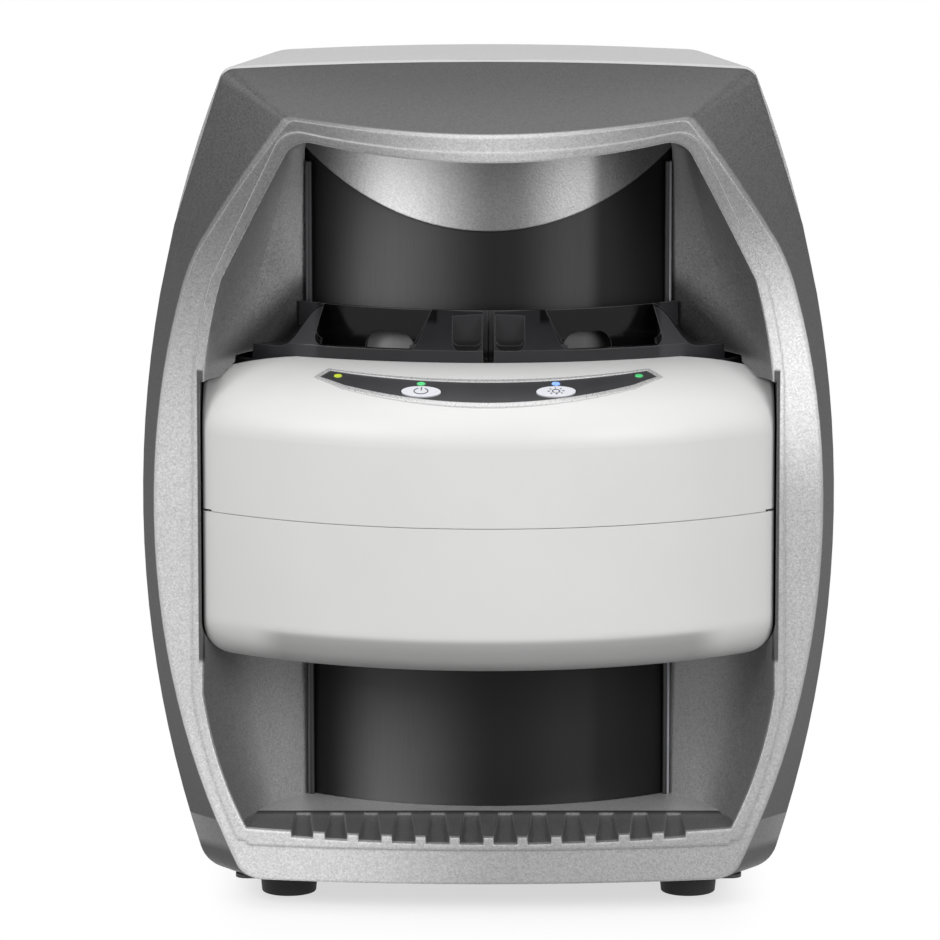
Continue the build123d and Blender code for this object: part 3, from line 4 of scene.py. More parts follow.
import bmesh
import bpy
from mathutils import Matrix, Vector
from mathutils.bvhtree import BVHTree


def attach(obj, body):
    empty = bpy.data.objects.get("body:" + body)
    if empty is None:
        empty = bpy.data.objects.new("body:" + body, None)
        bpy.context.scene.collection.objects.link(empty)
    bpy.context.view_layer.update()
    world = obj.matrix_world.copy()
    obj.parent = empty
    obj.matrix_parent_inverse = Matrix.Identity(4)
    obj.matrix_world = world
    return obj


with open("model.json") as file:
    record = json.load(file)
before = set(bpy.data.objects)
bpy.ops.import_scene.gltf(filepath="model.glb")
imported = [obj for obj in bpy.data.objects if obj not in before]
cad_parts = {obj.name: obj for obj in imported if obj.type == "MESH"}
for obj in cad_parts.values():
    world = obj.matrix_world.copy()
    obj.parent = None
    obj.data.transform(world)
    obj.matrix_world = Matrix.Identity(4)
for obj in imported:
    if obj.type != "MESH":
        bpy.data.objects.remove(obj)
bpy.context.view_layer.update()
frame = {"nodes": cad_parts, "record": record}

scene = bpy.context.scene
nodes = frame["nodes"]
print("frame loaded with", len(nodes), "nodes")


# shader helpers

class Signal:
    # one output socket that can stand in plain arithmetic
    def __init__(self, finish, socket):
        self.finish = finish
        self.socket = socket

    def maths(self, operation, *values):
        return self.finish.node("ShaderNodeMath", {"operation": operation}, dict(enumerate(values)))["Value"]

    def __add__(self, other):
        return self.maths("ADD", self, other)

    def __radd__(self, other):
        return self.maths("ADD", other, self)

    def __sub__(self, other):
        return self.maths("SUBTRACT", self, other)

    def __rsub__(self, other):
        return self.maths("SUBTRACT", other, self)

    def __mul__(self, other):
        return self.maths("MULTIPLY", self, other)

    def size(self):
        return self.maths("ABSOLUTE", self)

    def root(self):
        return self.maths("SQRT", self)

    def most(self, other):
        return self.maths("MAXIMUM", self, other)

    def fade(self, start, end, low=0.0, high=1.0):
        # low at start, high at end, held flat outside them
        settings = {"interpolation_type": "SMOOTHSTEP"}
        values = {"Value": self, "From Min": start, "From Max": end, "To Min": low, "To Max": high}
        return self.finish.node("ShaderNodeMapRange", settings, values)["Result"]

    def spread(self):
        # noise seldom leaves 0.3 to 0.7, so that range becomes 0 to 1
        return self.fade(0.3, 0.7)

    def swing(self, reach):
        # noise as a change around nothing, up to half of reach either way
        return (self - 0.5) * reach


class Finish:
    # one material: every node in it comes from node()
    def __init__(self, name):
        self.material = bpy.data.materials.new(name)
        self.material.use_nodes = True
        self.tree = self.material.node_tree
        self.tree.nodes.clear()
        self.place = self.node("ShaderNodeTexCoord")["Object"]

    def node(self, kind, settings=None, sockets=None):
        made = self.tree.nodes.new(kind)
        for key, value in (settings or {}).items():
            setattr(made, key, value)
        for key, value in (sockets or {}).items():
            if isinstance(value, Signal):
                self.tree.links.new(value.socket, made.inputs[key])
            else:
                made.inputs[key].default_value = value
        return {socket.name: Signal(self, socket) for socket in reversed(made.outputs) if socket.enabled}

    def parts(self, vector):
        return self.node("ShaderNodeSeparateXYZ", {}, {"Vector": vector})

    def spot(self):
        # where on the part a point is, in metres
        return self.parts(self.place)

    def facing(self):
        # which way the flat surface points
        return self.parts(self.node("ShaderNodeNewGeometry")["Normal"])

    def stretched(self, scale):
        return self.node("ShaderNodeVectorMath", {"operation": "MULTIPLY"}, {0: self.place, 1: scale})["Vector"]

    def noise(self, scale, detail=2.0, roughness=0.5, where=None):
        values = {"Vector": where or self.place, "Scale": scale, "Detail": detail, "Roughness": roughness}
        return self.node("ShaderNodeTexNoise", {}, values)["Fac"]

    def cells(self, scale):
        # a random level for each small cell, such as a metal flake
        found = self.node("ShaderNodeTexVoronoi", {}, {"Vector": self.place, "Scale": scale})["Color"]
        return self.red(found)

    def red(self, colour):
        return self.node("ShaderNodeSeparateColor", {}, {"Color": colour})["Red"]

    def mix(self, factor, first, second, method="MIX"):
        values = {0: factor, 6: first, 7: second}
        return self.node("ShaderNodeMix", {"data_type": "RGBA", "blend_type": method}, values)["Result"]

    def scaled(self, colour, factor):
        # a colour made brighter or darker by one number
        return self.mix(1.0, colour, self.level(factor), "MULTIPLY")

    def vector(self, x, y, z):
        return self.node("ShaderNodeCombineXYZ", {}, {"X": x, "Y": y, "Z": z})["Vector"]

    def blend(self, factor, first, second):
        return self.node("ShaderNodeMix", {"data_type": "VECTOR"}, {0: factor, 4: first, 5: second})["Result"]

    def level(self, value):
        # a grey colour from one number
        return self.node("ShaderNodeCombineColor", {}, {"Red": value, "Green": value, "Blue": value})["Color"]

    def softened(self, radius):
        return self.node("ShaderNodeBevel", {"samples": 4}, {"Radius": radius})["Normal"]

    def edges(self, radius):
        # 1 on sharp outer and inner edges, 0 on flats
        flat = self.node("ShaderNodeNewGeometry")["Normal"]
        pair = {0: self.softened(radius), 1: flat}
        return self.node("ShaderNodeVectorMath", {"operation": "DOT_PRODUCT"}, pair)["Value"].fade(0.985, 0.8)

    def raised(self, height, depth, normal=None):
        values = {"Strength": 1.0, "Distance": depth, "Height": height}
        if normal is not None:
            values["Normal"] = normal
        return self.node("ShaderNodeBump", {}, values)["Normal"]

    def seen(self):
        # 1 for what the eye meets, straight or in a reflection, 0 for light on its way between surfaces
        path = self.node("ShaderNodeLightPath")
        return path["Is Camera Ray"].most(path["Is Glossy Ray"]).most(path["Is Transmission Ray"])

    def close(self, sockets):
        shader = self.node("ShaderNodeBsdfPrincipled", {}, sockets)["BSDF"]
        self.node("ShaderNodeOutputMaterial", {}, {"Surface": shader})
        return self.material


def grey(level):
    return (level, level, level, 1)


def shade(colour, factor):
    return tuple(min(1, part * factor) for part in colour[:3]) + (1,)


def camel(slotName):
    # silver_bezel becomes silverBezel
    first, *others = slotName.split("_")
    return first + "".join(word.title() for word in others)


# finishes that several pieces share

def mouldedPlastic(name, look):
    # spark-eroded or satin moulding with faint clouding, rubbed edges that are also a painted highlight along the
    # edges, and the look's painted light where it gives one
    finish = Finish(name)
    grain = finish.noise(look["grainScale"], 3)
    cloud = finish.noise(look["cloudScale"], 3, 0.6)
    edgeWearAndHighlight = finish.edges(look["edgeRadius"])
    dark, light = shade(look["colour"], 1 - look["cloud"]), shade(look["colour"], 1 + look["cloud"])
    colour = finish.mix(cloud.spread(), dark, light)
    if "zones" in look:
        colour = finish.scaled(colour, look["zones"](finish, look))
    # rubbed edges, lightened as well as a painted highlight along the edges
    colour = finish.mix(edgeWearAndHighlight * look["wear"], colour, look["wearAndHighlightColour"])
    rough = look["roughness"] + cloud.swing(look["roughnessSpread"]) + grain.swing(look["roughnessSpread"])
    normal = finish.raised(grain, look["grainDepth"], finish.softened(look["edgeRadius"]))
    return finish.close({
        "Base Color": colour, "Roughness": rough, "Normal": normal,
        "Coat Weight": look.get("coat", 0.0), "Coat Roughness": look.get("coatRoughness", 0.1),
        "Specular IOR Level": look.get("specular", 0.5),
    })


def workedMetal(name, look):
    # rolled, turned or cast metal with a directional grain
    finish = Finish(name)
    lines = finish.noise(1, 3, 0.6, finish.stretched(look["grain"]))
    cloud = finish.noise(look["cloudScale"], 3, 0.6)
    edgeWearAndHighlight = finish.edges(look["edgeRadius"])
    colour = finish.mix(lines.spread(), shade(look["colour"], look["dark"]), shade(look["colour"], look["light"]))
    colour = finish.mix(cloud.fade(0.45, 0.8) * look["stain"], colour, shade(look["colour"], look["stained"]))
    # rubbed edges, lightened as well as a painted highlight along the edges
    colour = finish.mix(edgeWearAndHighlight * look["wear"], colour, shade(look["colour"], look["rubbed"]))
    rough = look["roughness"] + lines.swing(look["lineRoughness"]) + cloud.swing(look["cloudRoughness"])
    normal = finish.raised(lines, look["grainDepth"], finish.softened(look["edgeRadius"]))
    return finish.close({
        "Base Color": colour, "Metallic": look["metallic"], "Roughness": rough, "Normal": normal,
        "Specular IOR Level": 0.5,
    })


def silverPaint(name, look, tone, bend=None):
    # tone is one grey, or a function that gives the paint's colour, painted light and shade included, from the place on
    # it
    finish = Finish(name)
    flakes = finish.cells(look["flakeScale"])
    grain = finish.noise(look["flakeScale"] * look["grainRatio"], 2)
    cloud = finish.noise(look["cloudScale"], 2)
    paint = tone(finish, look) if callable(tone) else grey(tone)
    sparkle = 1 + flakes.swing(look["flake"]) + grain.swing(look["flake"]) * look["grainShare"]
    colour = finish.scaled(paint, sparkle + cloud.swing(look["cloud"]))
    # rubbed edges, lightened as well as a painted highlight along the edges
    colour = finish.mix(finish.edges(look["edge"]) * look["wear"], colour, grey(look["wearAndHighlightTone"]))
    rough = look["roughness"] + flakes.swing(look["roughnessSpread"])
    flat = finish.softened(look["edgeRadius"])
    normal = finish.raised(grain, look["grainDepth"], bend(finish, flat) if bend else flat)
    return finish.close({
        "Base Color": colour, "Metallic": look["metallic"], "Roughness": rough, "Normal": normal,
        "Specular IOR Level": look["specular"],
    })


# bezel: granular silver paint with light and shade painted into its colour: painted light on the bowed face and the top
# rim, painted shade on the facets, the alcove walls and the tray, painted shadows beside the guide's ends and in the
# notches, and a painted highlight along the lip

bezelLook = {
    # grey levels of the painted light and shade: face and rim painted light; facets, side rim, alcove walls and tray
    # painted shade; notch a painted shadow; lip a painted highlight; guideShadow and rightShadow the share of painted
    # shadow on the alcove walls
    "face": 0.50, "facet": (0.078, 0.0936), "side": 0.055, "topFacetShade": (0.0748, 0.1056), "rim": 0.60,
    "alcove": (0.272, 0.374), "guideShadow": 0.75, "rightShadow": 0.28, "tray": (0.1785, 0.272),
    "notch": 0.09, "lip": 0.85, "lipHighlightShare": 0.6,
    "flakeScale": 1500, "flake": 0.26, "grainRatio": 0.55, "grainShare": 1.6, "grainDepth": 0.00012,
    "cloudScale": 9, "cloud": 0.06, "roughness": 0.42, "roughnessSpread": 0.2, "metallic": 0.55, "specular": 0.3,
    "edgeRadius": 0.0022, "edge": 0.0007, "wear": 0.35, "wearAndHighlightTone": 0.62,
}

# painted light and shade on the bowed face by height: where each change starts and ends, and what it adds there
paintedFaceLight = {
    "left": [(0.40, 0.24, 0.33, 1.16), (0.13, 0.05, 0.0, 0.2)],
    "right": [(0.22, 0.285, 0.84, 1.44), (0.30, 0.40, 0.0, -1.03), (0.06, 0.03, 0.0, -0.1)],
    "crown": (0.38, 0.41, 0.0, 0.6),
}

# where the bezel's forms begin and end: metres on the part, depths behind the bowed face, and directions
bezelPlaces = {
    "bow": 0.680, "bowBack": 0.530, "middle": (-0.02, 0.02), "leftToRight": (-0.11, 0.02), "crown": (0.105, 0.0),
    "rim": (-0.1121, -0.1113), "face": (0.0024, 0.0012), "topDepth": (0.036, 0.002), "topFacing": (0.50, 0.62),
    "inward": (-0.001, -0.006), "downward": (-0.3, -0.6), "aboveTray": (0.025, 0.04),
    "guideX": 0.130, "guideZ": 0.307, "guideRun": 0.68, "guideRise": 0.73,
    "shadow": (0.018, 0.001), "shadowFoot": (0.300, 0.306), "shadowTop": (0.352, 0.335),
    "rightHeight": (0.20, 0.32), "wallDepth": (0.0, 0.06), "behindFace": (0.0008, 0.002),
    "trayRun": (-0.130, -0.100), "trayDepth": (0.0012, 0.0025), "trayTop": (0.0494, 0.0485),
    "trayFoot": (0.030, 0.036), "lipWidth": 0.0011, "lip": (0.0030, 0.0018),
    "notchInner": (0.1550, 0.1556), "notchOuter": (0.1590, 0.1584), "notchFoot": (0.136, 0.140),
    "notchTop": (0.301, 0.299), "notchDepth": (-0.003, -0.002),
}


def total(signal, changes):
    # several fades of one signal, added up
    first, *others = [signal.fade(*change) for change in changes]
    return sum(others, first)


def bezelPaintedLight(finish, look):
    # painted light and shade: which form of the moulding a point is on sets how bright its paint is made, standing in
    # for how the lamps fall on that form
    at = bezelPlaces
    spot, facing = finish.spot(), finish.facing()
    x, y, z = spot["X"], spot["Y"], spot["Z"]
    deep = y + (at["bow"] ** 2 - x * x).root() - at["bowBack"]

    # painted light: the bowed face brightens and darkens by height, differently on the left and right, with a brighter
    # crown band at the top middle
    left, right = total(z, paintedFaceLight["left"]), total(z, paintedFaceLight["right"])
    crown = x.size().fade(*at["crown"]) * z.fade(*paintedFaceLight["crown"])
    face = finish.scaled(grey(look["face"]), left + x.fade(*at["leftToRight"]) * (right - left) + crown)

    # painted light and shade on the facets and rim: side facets and side rim painted dark, the right facet a little
    # lighter, the top facet darker farther behind the face, and the top rim painted light
    rimBand = y.fade(*at["rim"])
    side = finish.mix(rimBand, finish.level(x.fade(*at["middle"], *look["facet"])), grey(look["side"]))
    top = finish.mix(rimBand, finish.level(deep.fade(*at["topDepth"], *look["topFacetShade"])), grey(look["rim"]))
    tone = finish.mix(facing["Z"].fade(*at["topFacing"]), side, top)
    tone = finish.mix(deep.size().fade(*at["face"]), tone, face)

    # painted shade on the alcove walls, darker near the lip, with a painted shadow around each end of the guide and
    # painted shade on the upper right wall
    ceiling = facing["Z"].fade(*at["downward"]) * z.fade(*at["aboveTray"])
    inward = (x * facing["X"]).fade(*at["inward"]).most(ceiling)
    guideEnd = (x.size() - at["guideX"]) * at["guideRun"] + (z - at["guideZ"]) * at["guideRise"]
    guideEndShadow = guideEnd.fade(*at["shadow"]) * z.fade(*at["shadowFoot"]) * z.fade(*at["shadowTop"])
    onShadedRight = x.fade(*at["middle"]) * z.fade(*at["rightHeight"])
    wallShade = deep.fade(*at["wallDepth"], *look["alcove"]) * (1 - guideEndShadow * look["guideShadow"])
    wallShade = finish.level(wallShade * (1 - onShadedRight * look["rightShadow"]))
    tone = finish.mix(inward * deep.fade(*at["behindFace"]), tone, wallShade)

    # painted shade on the tray floor, darkest at its front edge
    onTray = deep.fade(*at["trayDepth"]) * z.fade(*at["trayTop"]) * z.fade(*at["trayFoot"])
    tone = finish.mix(onTray, tone, finish.level(y.fade(*at["trayRun"], *look["tray"])))
    # painted highlight along the edges of the lip
    onLipHighlight = finish.edges(at["lipWidth"]) * deep.size().fade(*at["lip"]) * look["lipHighlightShare"]
    tone = finish.mix(onLipHighlight, tone, grey(look["lip"]))
    # painted shadow in the gap of each notch beside the white unit
    beside = x.size().fade(*at["notchInner"]) * x.size().fade(*at["notchOuter"])
    inNotchShadow = beside * z.fade(*at["notchFoot"]) * z.fade(*at["notchTop"]) * deep.fade(*at["notchDepth"])
    return finish.mix(inNotchShadow, tone, grey(look["notch"]))


alcoveCurve = {
    "sideways": (-0.130, -0.060, 0.95, 0.58), "flip": (-0.001, 0.001, 1.0, -1.0),
    "inward": (-0.02, -0.04), "upright": (0.6, 0.5), "behindLip": (-0.139, -0.134),
}


def alcoveNormal(finish, flat):
    # the alcove's bowed sides shade as one smooth curve from the lip back to the drum
    curve = alcoveCurve
    spot, facing = finish.spot(), finish.facing()
    x, y, upward = spot["X"], spot["Y"], facing["Z"]
    sideways = y.fade(*curve["sideways"])
    forward = (1 - sideways * sideways).root()
    level = (1 - upward * upward).most(0).root()
    bowed = finish.vector(x.fade(*curve["flip"]) * sideways * level, forward * level * -1, upward)
    inside = (x * facing["X"]).fade(*curve["inward"]) * upward.size().fade(*curve["upright"])
    return finish.blend(inside * y.fade(*curve["behindLip"]), flat, bowed)


# painted reflections: two upright bands of sheen painted into the colour of the round drum and its cap, the left one
# wide and the right one with a crisp edge

sheenPlaces = {
    "height": (0.15, 0.28), "lean": (0.006, 0.0), "leftRise": (-0.098, -0.064), "leftFall": (0.004, -0.060),
    "rightRise": (0.012, 0.046), "rightFall": (0.063, 0.053), "rightShare": (0.25, 1.0),
}


def sheenBands(spot, look):
    at = sheenPlaces
    x, z = spot["X"], spot["Z"]
    left = (x - z.fade(*at["height"], *at["lean"])).fade(*at["leftRise"]) * x.fade(*at["leftFall"])
    right = x.fade(*at["rightRise"]) * x.fade(*at["rightFall"]) * z.fade(*at["height"], *at["rightShare"])
    return look["base"] + left * look["leftBand"] + right * look["rightBand"]


def capPaintedSheen(finish, look):
    return finish.level(sheenBands(finish.spot(), look))


# the cap's colour is the painted sheen alone: base, leftBand and rightBand
capLook = dict(
    bezelLook, flake=0.22, roughness=0.4, metallic=0.6, edgeRadius=0.0008, base=0.17, leftBand=0.74, rightBand=0.27,
)
frameLook = dict(
    bezelLook, flake=0.03, grainDepth=0.000004, roughness=0.34, metallic=0.35, edgeRadius=0.0004, tone=0.62,
)
housingLook = dict(bezelLook, flake=0.2, roughness=0.46, metallic=0.45, edgeRadius=0.0015, tone=0.46)

finishes = {
    "silver_bezel": silverPaint("silverBezel", bezelLook, bezelPaintedLight, alcoveNormal),
    "silver_cap": silverPaint("silverCap", capLook, capPaintedSheen),
    "silver_frame": silverPaint("silverFrame", frameLook, frameLook["tone"]),
    "housing_grey": silverPaint("housingGrey", housingLook, housingLook["tone"]),
}
print("silver paints ready")


# white covers

def coverUndersideShade(finish, look):
    # painted shade: the middle of the rounded underside is painted darker, as the shade on a surface that faces down
    upward = finish.facing()["Z"]
    middle = finish.spot()["X"].size().fade(*look["middle"])
    return 1 - upward.fade(*look["underside"]) * middle * upward.fade(*look["loss"])


whiteLook = {
    "colour": (0.745, 0.745, 0.74), "cloud": 0.012, "cloudScale": 14, "grainScale": 2600, "grainDepth": 0.000012,
    "roughness": 0.4, "roughnessSpread": 0.05, "edgeRadius": 0.0006, "wear": 0.25, "wearAndHighlightColour": (0.82, 0.82, 0.81, 1),
    "specular": 0.35, "zones": coverUndersideShade,
    "middle": (0.130, 0.110), "underside": (-0.06, -0.26), "loss": (-0.35, -0.95, 0.42, 0.2),
}
finishes["white_cover"] = mouldedPlastic("whiteCover", whiteLook)


# entry guide: black and glossy

def guidePaintedLight(finish, look):
    # painted shade inside the pockets next to the drum, and painted light on the wings and on what faces the front
    spot, facing = finish.spot(), finish.facing()
    x, y = spot["X"], spot["Y"] - look["drumAxis"]
    beforeDrum = (x * x + y * y).root() - look["drumRadius"]
    pocket = beforeDrum.fade(*look["pocketDepth"]) * x.size().fade(*look["pocketInner"])
    pocket = pocket * x.size().fade(*look["pocketOuter"])
    wing = x.size().fade(*look["wing"])
    front = facing["Y"].fade(*look["front"]) * (1 - pocket) * (1 - wing)
    return 1 - pocket * look["pocketShade"] + wing * look["wingLight"] + front * look["frontLight"]


glossLook = {
    "colour": (0.011, 0.011, 0.012), "cloud": 0.12, "cloudScale": 22, "grainScale": 900, "grainDepth": 0.000008,
    "roughness": 0.16, "roughnessSpread": 0.05, "edgeRadius": 0.0008, "wear": 0.6, "wearAndHighlightColour": (0.16, 0.16, 0.165, 1),
    "specular": 0.22,
}
guideLook = dict(
    glossLook, zones=guidePaintedLight, drumAxis=0.060, drumRadius=0.160, pocketDepth=(0.0165, 0.013),
    pocketInner=(0.027, 0.029), pocketOuter=(0.096, 0.093), wing=(0.092, 0.096), front=(-0.5, -0.8),
    pocketShade=0.7, wingLight=2.6, frontLight=0.9,
)
finishes["black_gloss"] = mouldedPlastic("blackGloss", guideLook)


# satin blacks: drum trims, inner parts, sockets, chips and the panel's face

def trimEdgeHighlight(finish, look):
    # painted highlight: a bright line along the outer edge of each trim, brighter on the right, and a fainter one along
    # the inner edge
    x = finish.spot()["X"]
    outer = x.size().fade(*look["outerEdge"]) * x.fade(*look["outerHighlight"])
    return 1 + outer + x.size().fade(*look["innerEdge"]) * look["innerShine"]


satinLook = dict(glossLook, roughness=0.38, specular=0.4, grainDepth=0.00003, wear=0.3, wearAndHighlightColour=grey(0.05))
satinChanges = {
    "black_trim": {
        "zones": trimEdgeHighlight, "outerEdge": (0.0994, 0.1000), "outerHighlight": (-0.02, 0.02, 6.0, 34.0),
        "innerEdge": (0.0990, 0.0984), "innerShine": 1.5,
    },
    "inner_black": {"colour": (0.035, 0.035, 0.038), "roughness": 0.5},
    "socket_black": {"colour": (0.022, 0.022, 0.024), "roughness": 0.42},
    "chip_black": {"colour": (0.02, 0.02, 0.021), "roughness": 0.45},
    "panel_dark": {"colour": (0.045, 0.045, 0.048), "roughness": 0.4, "wear": 0.1},
}
for slotName, changes in satinChanges.items():
    finishes[slotName] = mouldedPlastic(camel(slotName), dict(satinLook, **changes))

rubberLook = {
    "colour": (0.018, 0.018, 0.018), "cloud": 0.2, "cloudScale": 60, "grainScale": 1400, "grainDepth": 0.00008,
    "roughness": 0.72, "roughnessSpread": 0.12, "edgeRadius": 0.001, "wear": 0.35, "wearAndHighlightColour": (0.07, 0.07, 0.07, 1),
}
finishes["foot_rubber"] = mouldedPlastic("footRubber", rubberLook)
finishes["belt_rubber"] = mouldedPlastic("beltRubber", dict(rubberLook, grainScale=2400))

buttonLook = {
    "colour": (0.80, 0.81, 0.86), "cloud": 0.01, "cloudScale": 80, "grainScale": 3000, "grainDepth": 0.000008,
    "roughness": 0.3, "roughnessSpread": 0.04, "edgeRadius": 0.0004, "wear": 0.2, "wearAndHighlightColour": (0.9, 0.9, 0.92, 1),
    "coat": 0.3, "coatRoughness": 0.15,
}
finishes["button_pale"] = mouldedPlastic("buttonPale", buttonLook)
finishes["lamp_white"] = mouldedPlastic("lampWhite", dict(buttonLook, colour=(0.85, 0.85, 0.78)))
print("plastics ready")

# metals: what each changes of plain sheet steel

sheetLook = {
    "colour": (0.5, 0.505, 0.51), "grain": (60, 60, 2400), "grainDepth": 0.00002, "cloudScale": 18, "metallic": 1.0,
    "dark": 0.86, "light": 1.12, "stain": 0.2, "stained": 0.6, "wear": 0.5, "rubbed": 1.3, "edgeRadius": 0.0004,
    "roughness": 0.36, "lineRoughness": 0.2, "cloudRoughness": 0.14,
}
metalChanges = {
    "sheet_steel": {},
    "dark_steel": {"colour": (0.045, 0.045, 0.048), "metallic": 0.2, "roughness": 0.55, "grain": (900, 900, 900)},
    "zinc_screw": {"colour": (0.58, 0.58, 0.54), "grain": (1600, 300, 1600)},
    "motor_steel": {"colour": (0.45, 0.45, 0.46), "grain": (120, 120, 1200)},
    "brass_pulley": {"colour": (0.62, 0.45, 0.18), "grain": (900, 900, 900)},
    "cast_aluminium": {"colour": (0.5, 0.51, 0.52), "grain": (500, 500, 500), "roughness": 0.5},
    "mirror_bright": {"colour": (0.78, 0.79, 0.8), "roughness": 0.12, "stain": 0.04},
    "port_steel": {"colour": (0.6, 0.6, 0.58), "grain": (1200, 60, 60)},
    "axle_steel": {"colour": (0.55, 0.55, 0.56), "grain": (700, 700, 700), "roughness": 0.28},
}
for slotName, changes in metalChanges.items():
    finishes[slotName] = workedMetal(camel(slotName), dict(sheetLook, **changes))
print("metals ready")

# drum: near-black satin paint with a very fine upright grain, painted reflections in two upright bands of sheen, and
# painted light where the guide's windows show it

drumLook = {
    "base": 0.010, "leftBand": 0.100, "rightBand": 0.044, "window": 2.0, "windowTop": (0.3205, 0.3195),
    "windowFoot": (0.298, 0.299), "grain": (2600, 2600, 40), "grainTone": 0.35, "grainDepth": 0.000015,
    "cloudScale": 12, "cloudTone": 0.08, "roughness": 0.42, "roughnessSpread": 0.12, "specular": 0.16,
    "edgeRadius": 0.0005, "wear": 0.4, "wearAndHighlightTone": 0.16,
}


def drumPaint(name, look):
    finish = Finish(name)
    lines = finish.noise(1, 3, 0.6, finish.stretched(look["grain"]))
    cloud = finish.noise(look["cloudScale"], 3)
    spot = finish.spot()
    # painted light where the guide's windows show the drum
    windows = spot["Z"].fade(*look["windowTop"]) * spot["Z"].fade(*look["windowFoot"])
    grain = 1 + lines.swing(look["grainTone"]) + cloud.swing(look["cloudTone"])
    tone = sheenBands(spot, look) * grain * (1 + windows * look["window"])
    # rubbed edges, lightened as well as a painted highlight along the edges
    edgeWearAndHighlight = finish.edges(look["edgeRadius"]) * look["wear"]
    return finish.close({
        "Base Color": finish.mix(edgeWearAndHighlight, finish.level(tone), grey(look["wearAndHighlightTone"])),
        "Roughness": look["roughness"] + lines.swing(look["roughnessSpread"]),
        "Normal": finish.raised(lines, look["grainDepth"], finish.softened(look["edgeRadius"])),
        "Specular IOR Level": look["specular"],
    })


finishes["drum_grey"] = drumPaint("drumGrey", drumLook)

# circuit boards: solder mask with tracks

boardLook = {
    "mask": (0.012, 0.10, 0.045), "track": (0.03, 0.19, 0.09), "scale": 105, "gap": 0.06, "length": 1.6, "pitch": 0.4,
    "offset": 0.37, "depth": 0.00004, "grainScale": 500, "grain": 0.3, "roughness": 0.3, "roughnessSpread": 0.15,
}


def circuitBoard(name, look):
    finish = Finish(name)
    tracks = finish.node("ShaderNodeTexBrick", {"offset": look["offset"], "squash": 1.0}, {
        "Vector": finish.place, "Scale": look["scale"], "Mortar Size": look["gap"],
        "Brick Width": look["length"], "Row Height": look["pitch"],
        "Color1": grey(0.0), "Color2": grey(0.0), "Mortar": grey(1.0),
    })["Color"]
    line = finish.red(tracks)
    grain = finish.noise(look["grainScale"], 3)
    colour = finish.mix(line, shade(look["mask"], 1), shade(look["track"], 1))
    colour = finish.mix(grain.fade(0.4, 0.7) * look["grain"], colour, shade(look["mask"], 0.6))
    rough = look["roughness"] + grain.swing(look["roughnessSpread"])
    return finish.close({"Base Color": colour, "Roughness": rough, "Normal": finish.raised(line, look["depth"])})


finishes["board_green"] = circuitBoard("boardGreen", boardLook)

# indicator lamps: tinted lenses that glow from their middles inside a dark ring

lensLook = {
    "grainScale": 900, "grainDepth": 0.00001, "ring": 0.0007, "ringShare": 0.85, "ringTone": 0.02,
    "edgeRadius": 0.0003, "roughness": 0.14, "roughnessSpread": 0.06, "coat": 0.4,
}
lampLooks = {
    "led_amber": {"colour": (0.58, 0.70, 0.05), "glow": (0.52, 0.62, 0.04), "level": 0.4},
    "led_green": {"colour": (0.10, 0.62, 0.22), "glow": (0.08, 0.60, 0.20), "level": 0.4},
    "led_blue": {"colour": (0.20, 0.38, 1.0), "glow": (0.25, 0.42, 1.0), "level": 0.8},
}


def lensFinish(name, look):
    finish = Finish(name)
    grain = finish.noise(look["grainScale"], 2)
    colour = finish.mix(grain.spread(), shade(look["colour"], 0.82), shade(look["colour"], 1.1))
    glow = finish.mix(grain.fade(0.2, 0.8), shade(look["glow"], 0.8), shade(look["glow"], 1))
    ring = finish.edges(look["ring"])
    return finish.close({
        "Base Color": finish.mix(ring * look["ringShare"], colour, grey(look["ringTone"])),
        "Roughness": look["roughness"] + grain.swing(look["roughnessSpread"]),
        "Normal": finish.raised(grain, look["grainDepth"], finish.softened(look["edgeRadius"])),
        "Emission Color": finish.mix(ring, glow, grey(0.0)), "Emission Strength": look["level"],
        "Coat Weight": look["coat"],
    })


for slotName, lampLook in lampLooks.items():
    finishes[slotName] = lensFinish(camel(slotName), dict(lensLook, **lampLook))

# every carried-over node takes the finish of its slot

slotOf = {row["node"]: row["material_slot"] for row in frame["record"]["subparts"]}
for nodeName, nodeObject in nodes.items():
    for place in nodeObject.material_slots:
        place.material = finishes[slotOf[nodeName]]
print("finishes on all nodes")


# symbols on the two buttons, as thin raised print that follows the button's crown

def arc(reach, rise, turns):
    # points on an oval, across and up the button, at these angles
    return [(reach * math.cos(math.radians(turn)), rise * math.sin(math.radians(turn))) for turn in turns]


symbolLook = {
    "line": 0.00056, "lift": 0.00003, "thick": 0.00008, "above": 0.01, "crown": 0.00005,
    "colour": (0.045, 0.045, 0.055), "grainScale": 2200, "grainDepth": 0.00001, "roughness": 0.5,
    "roughnessSpread": 0.2,
}
powerStrokes = [
    arc(0.0038, 0.0024, range(118, 423, 8)),
    [(0.0, 0.0032), (0.0, 0.0024), (0.0, 0.0016), (0.0, 0.0006)],
]
lampStrokes = [
    arc(0.0020, 0.0013, range(-60, 245, 12)),
    [(-0.0008, -0.0017), (0.0, -0.0018), (0.0008, -0.0017)],
]
for turn in range(0, 360, 45):
    lampStrokes.append([arc(reach * 0.001, reach * 0.00062, [turn])[0] for reach in (3.3, 4.0, 4.7)])


def buttonFrame(source, look):
    # middle of the button's crown, with its own right, up and outward directions
    outward = max(source.polygons, key=lambda face: face.area if face.normal.z > 0.5 else 0).normal.normalized()
    right = Vector((-outward.y, outward.x, 0)).normalized()
    if right.x < 0:
        right = -right
    up = outward.cross(right)
    points = [corner.co for corner in source.vertices]
    top = max(point.dot(outward) for point in points)
    crown = [point for point in points if point.dot(outward) > top - look["crown"]]
    middle = outward * top
    for direction in (right, up):
        reach = [point.dot(direction) for point in crown]
        middle += direction * (min(reach) + max(reach)) / 2
    return middle, right, up, outward


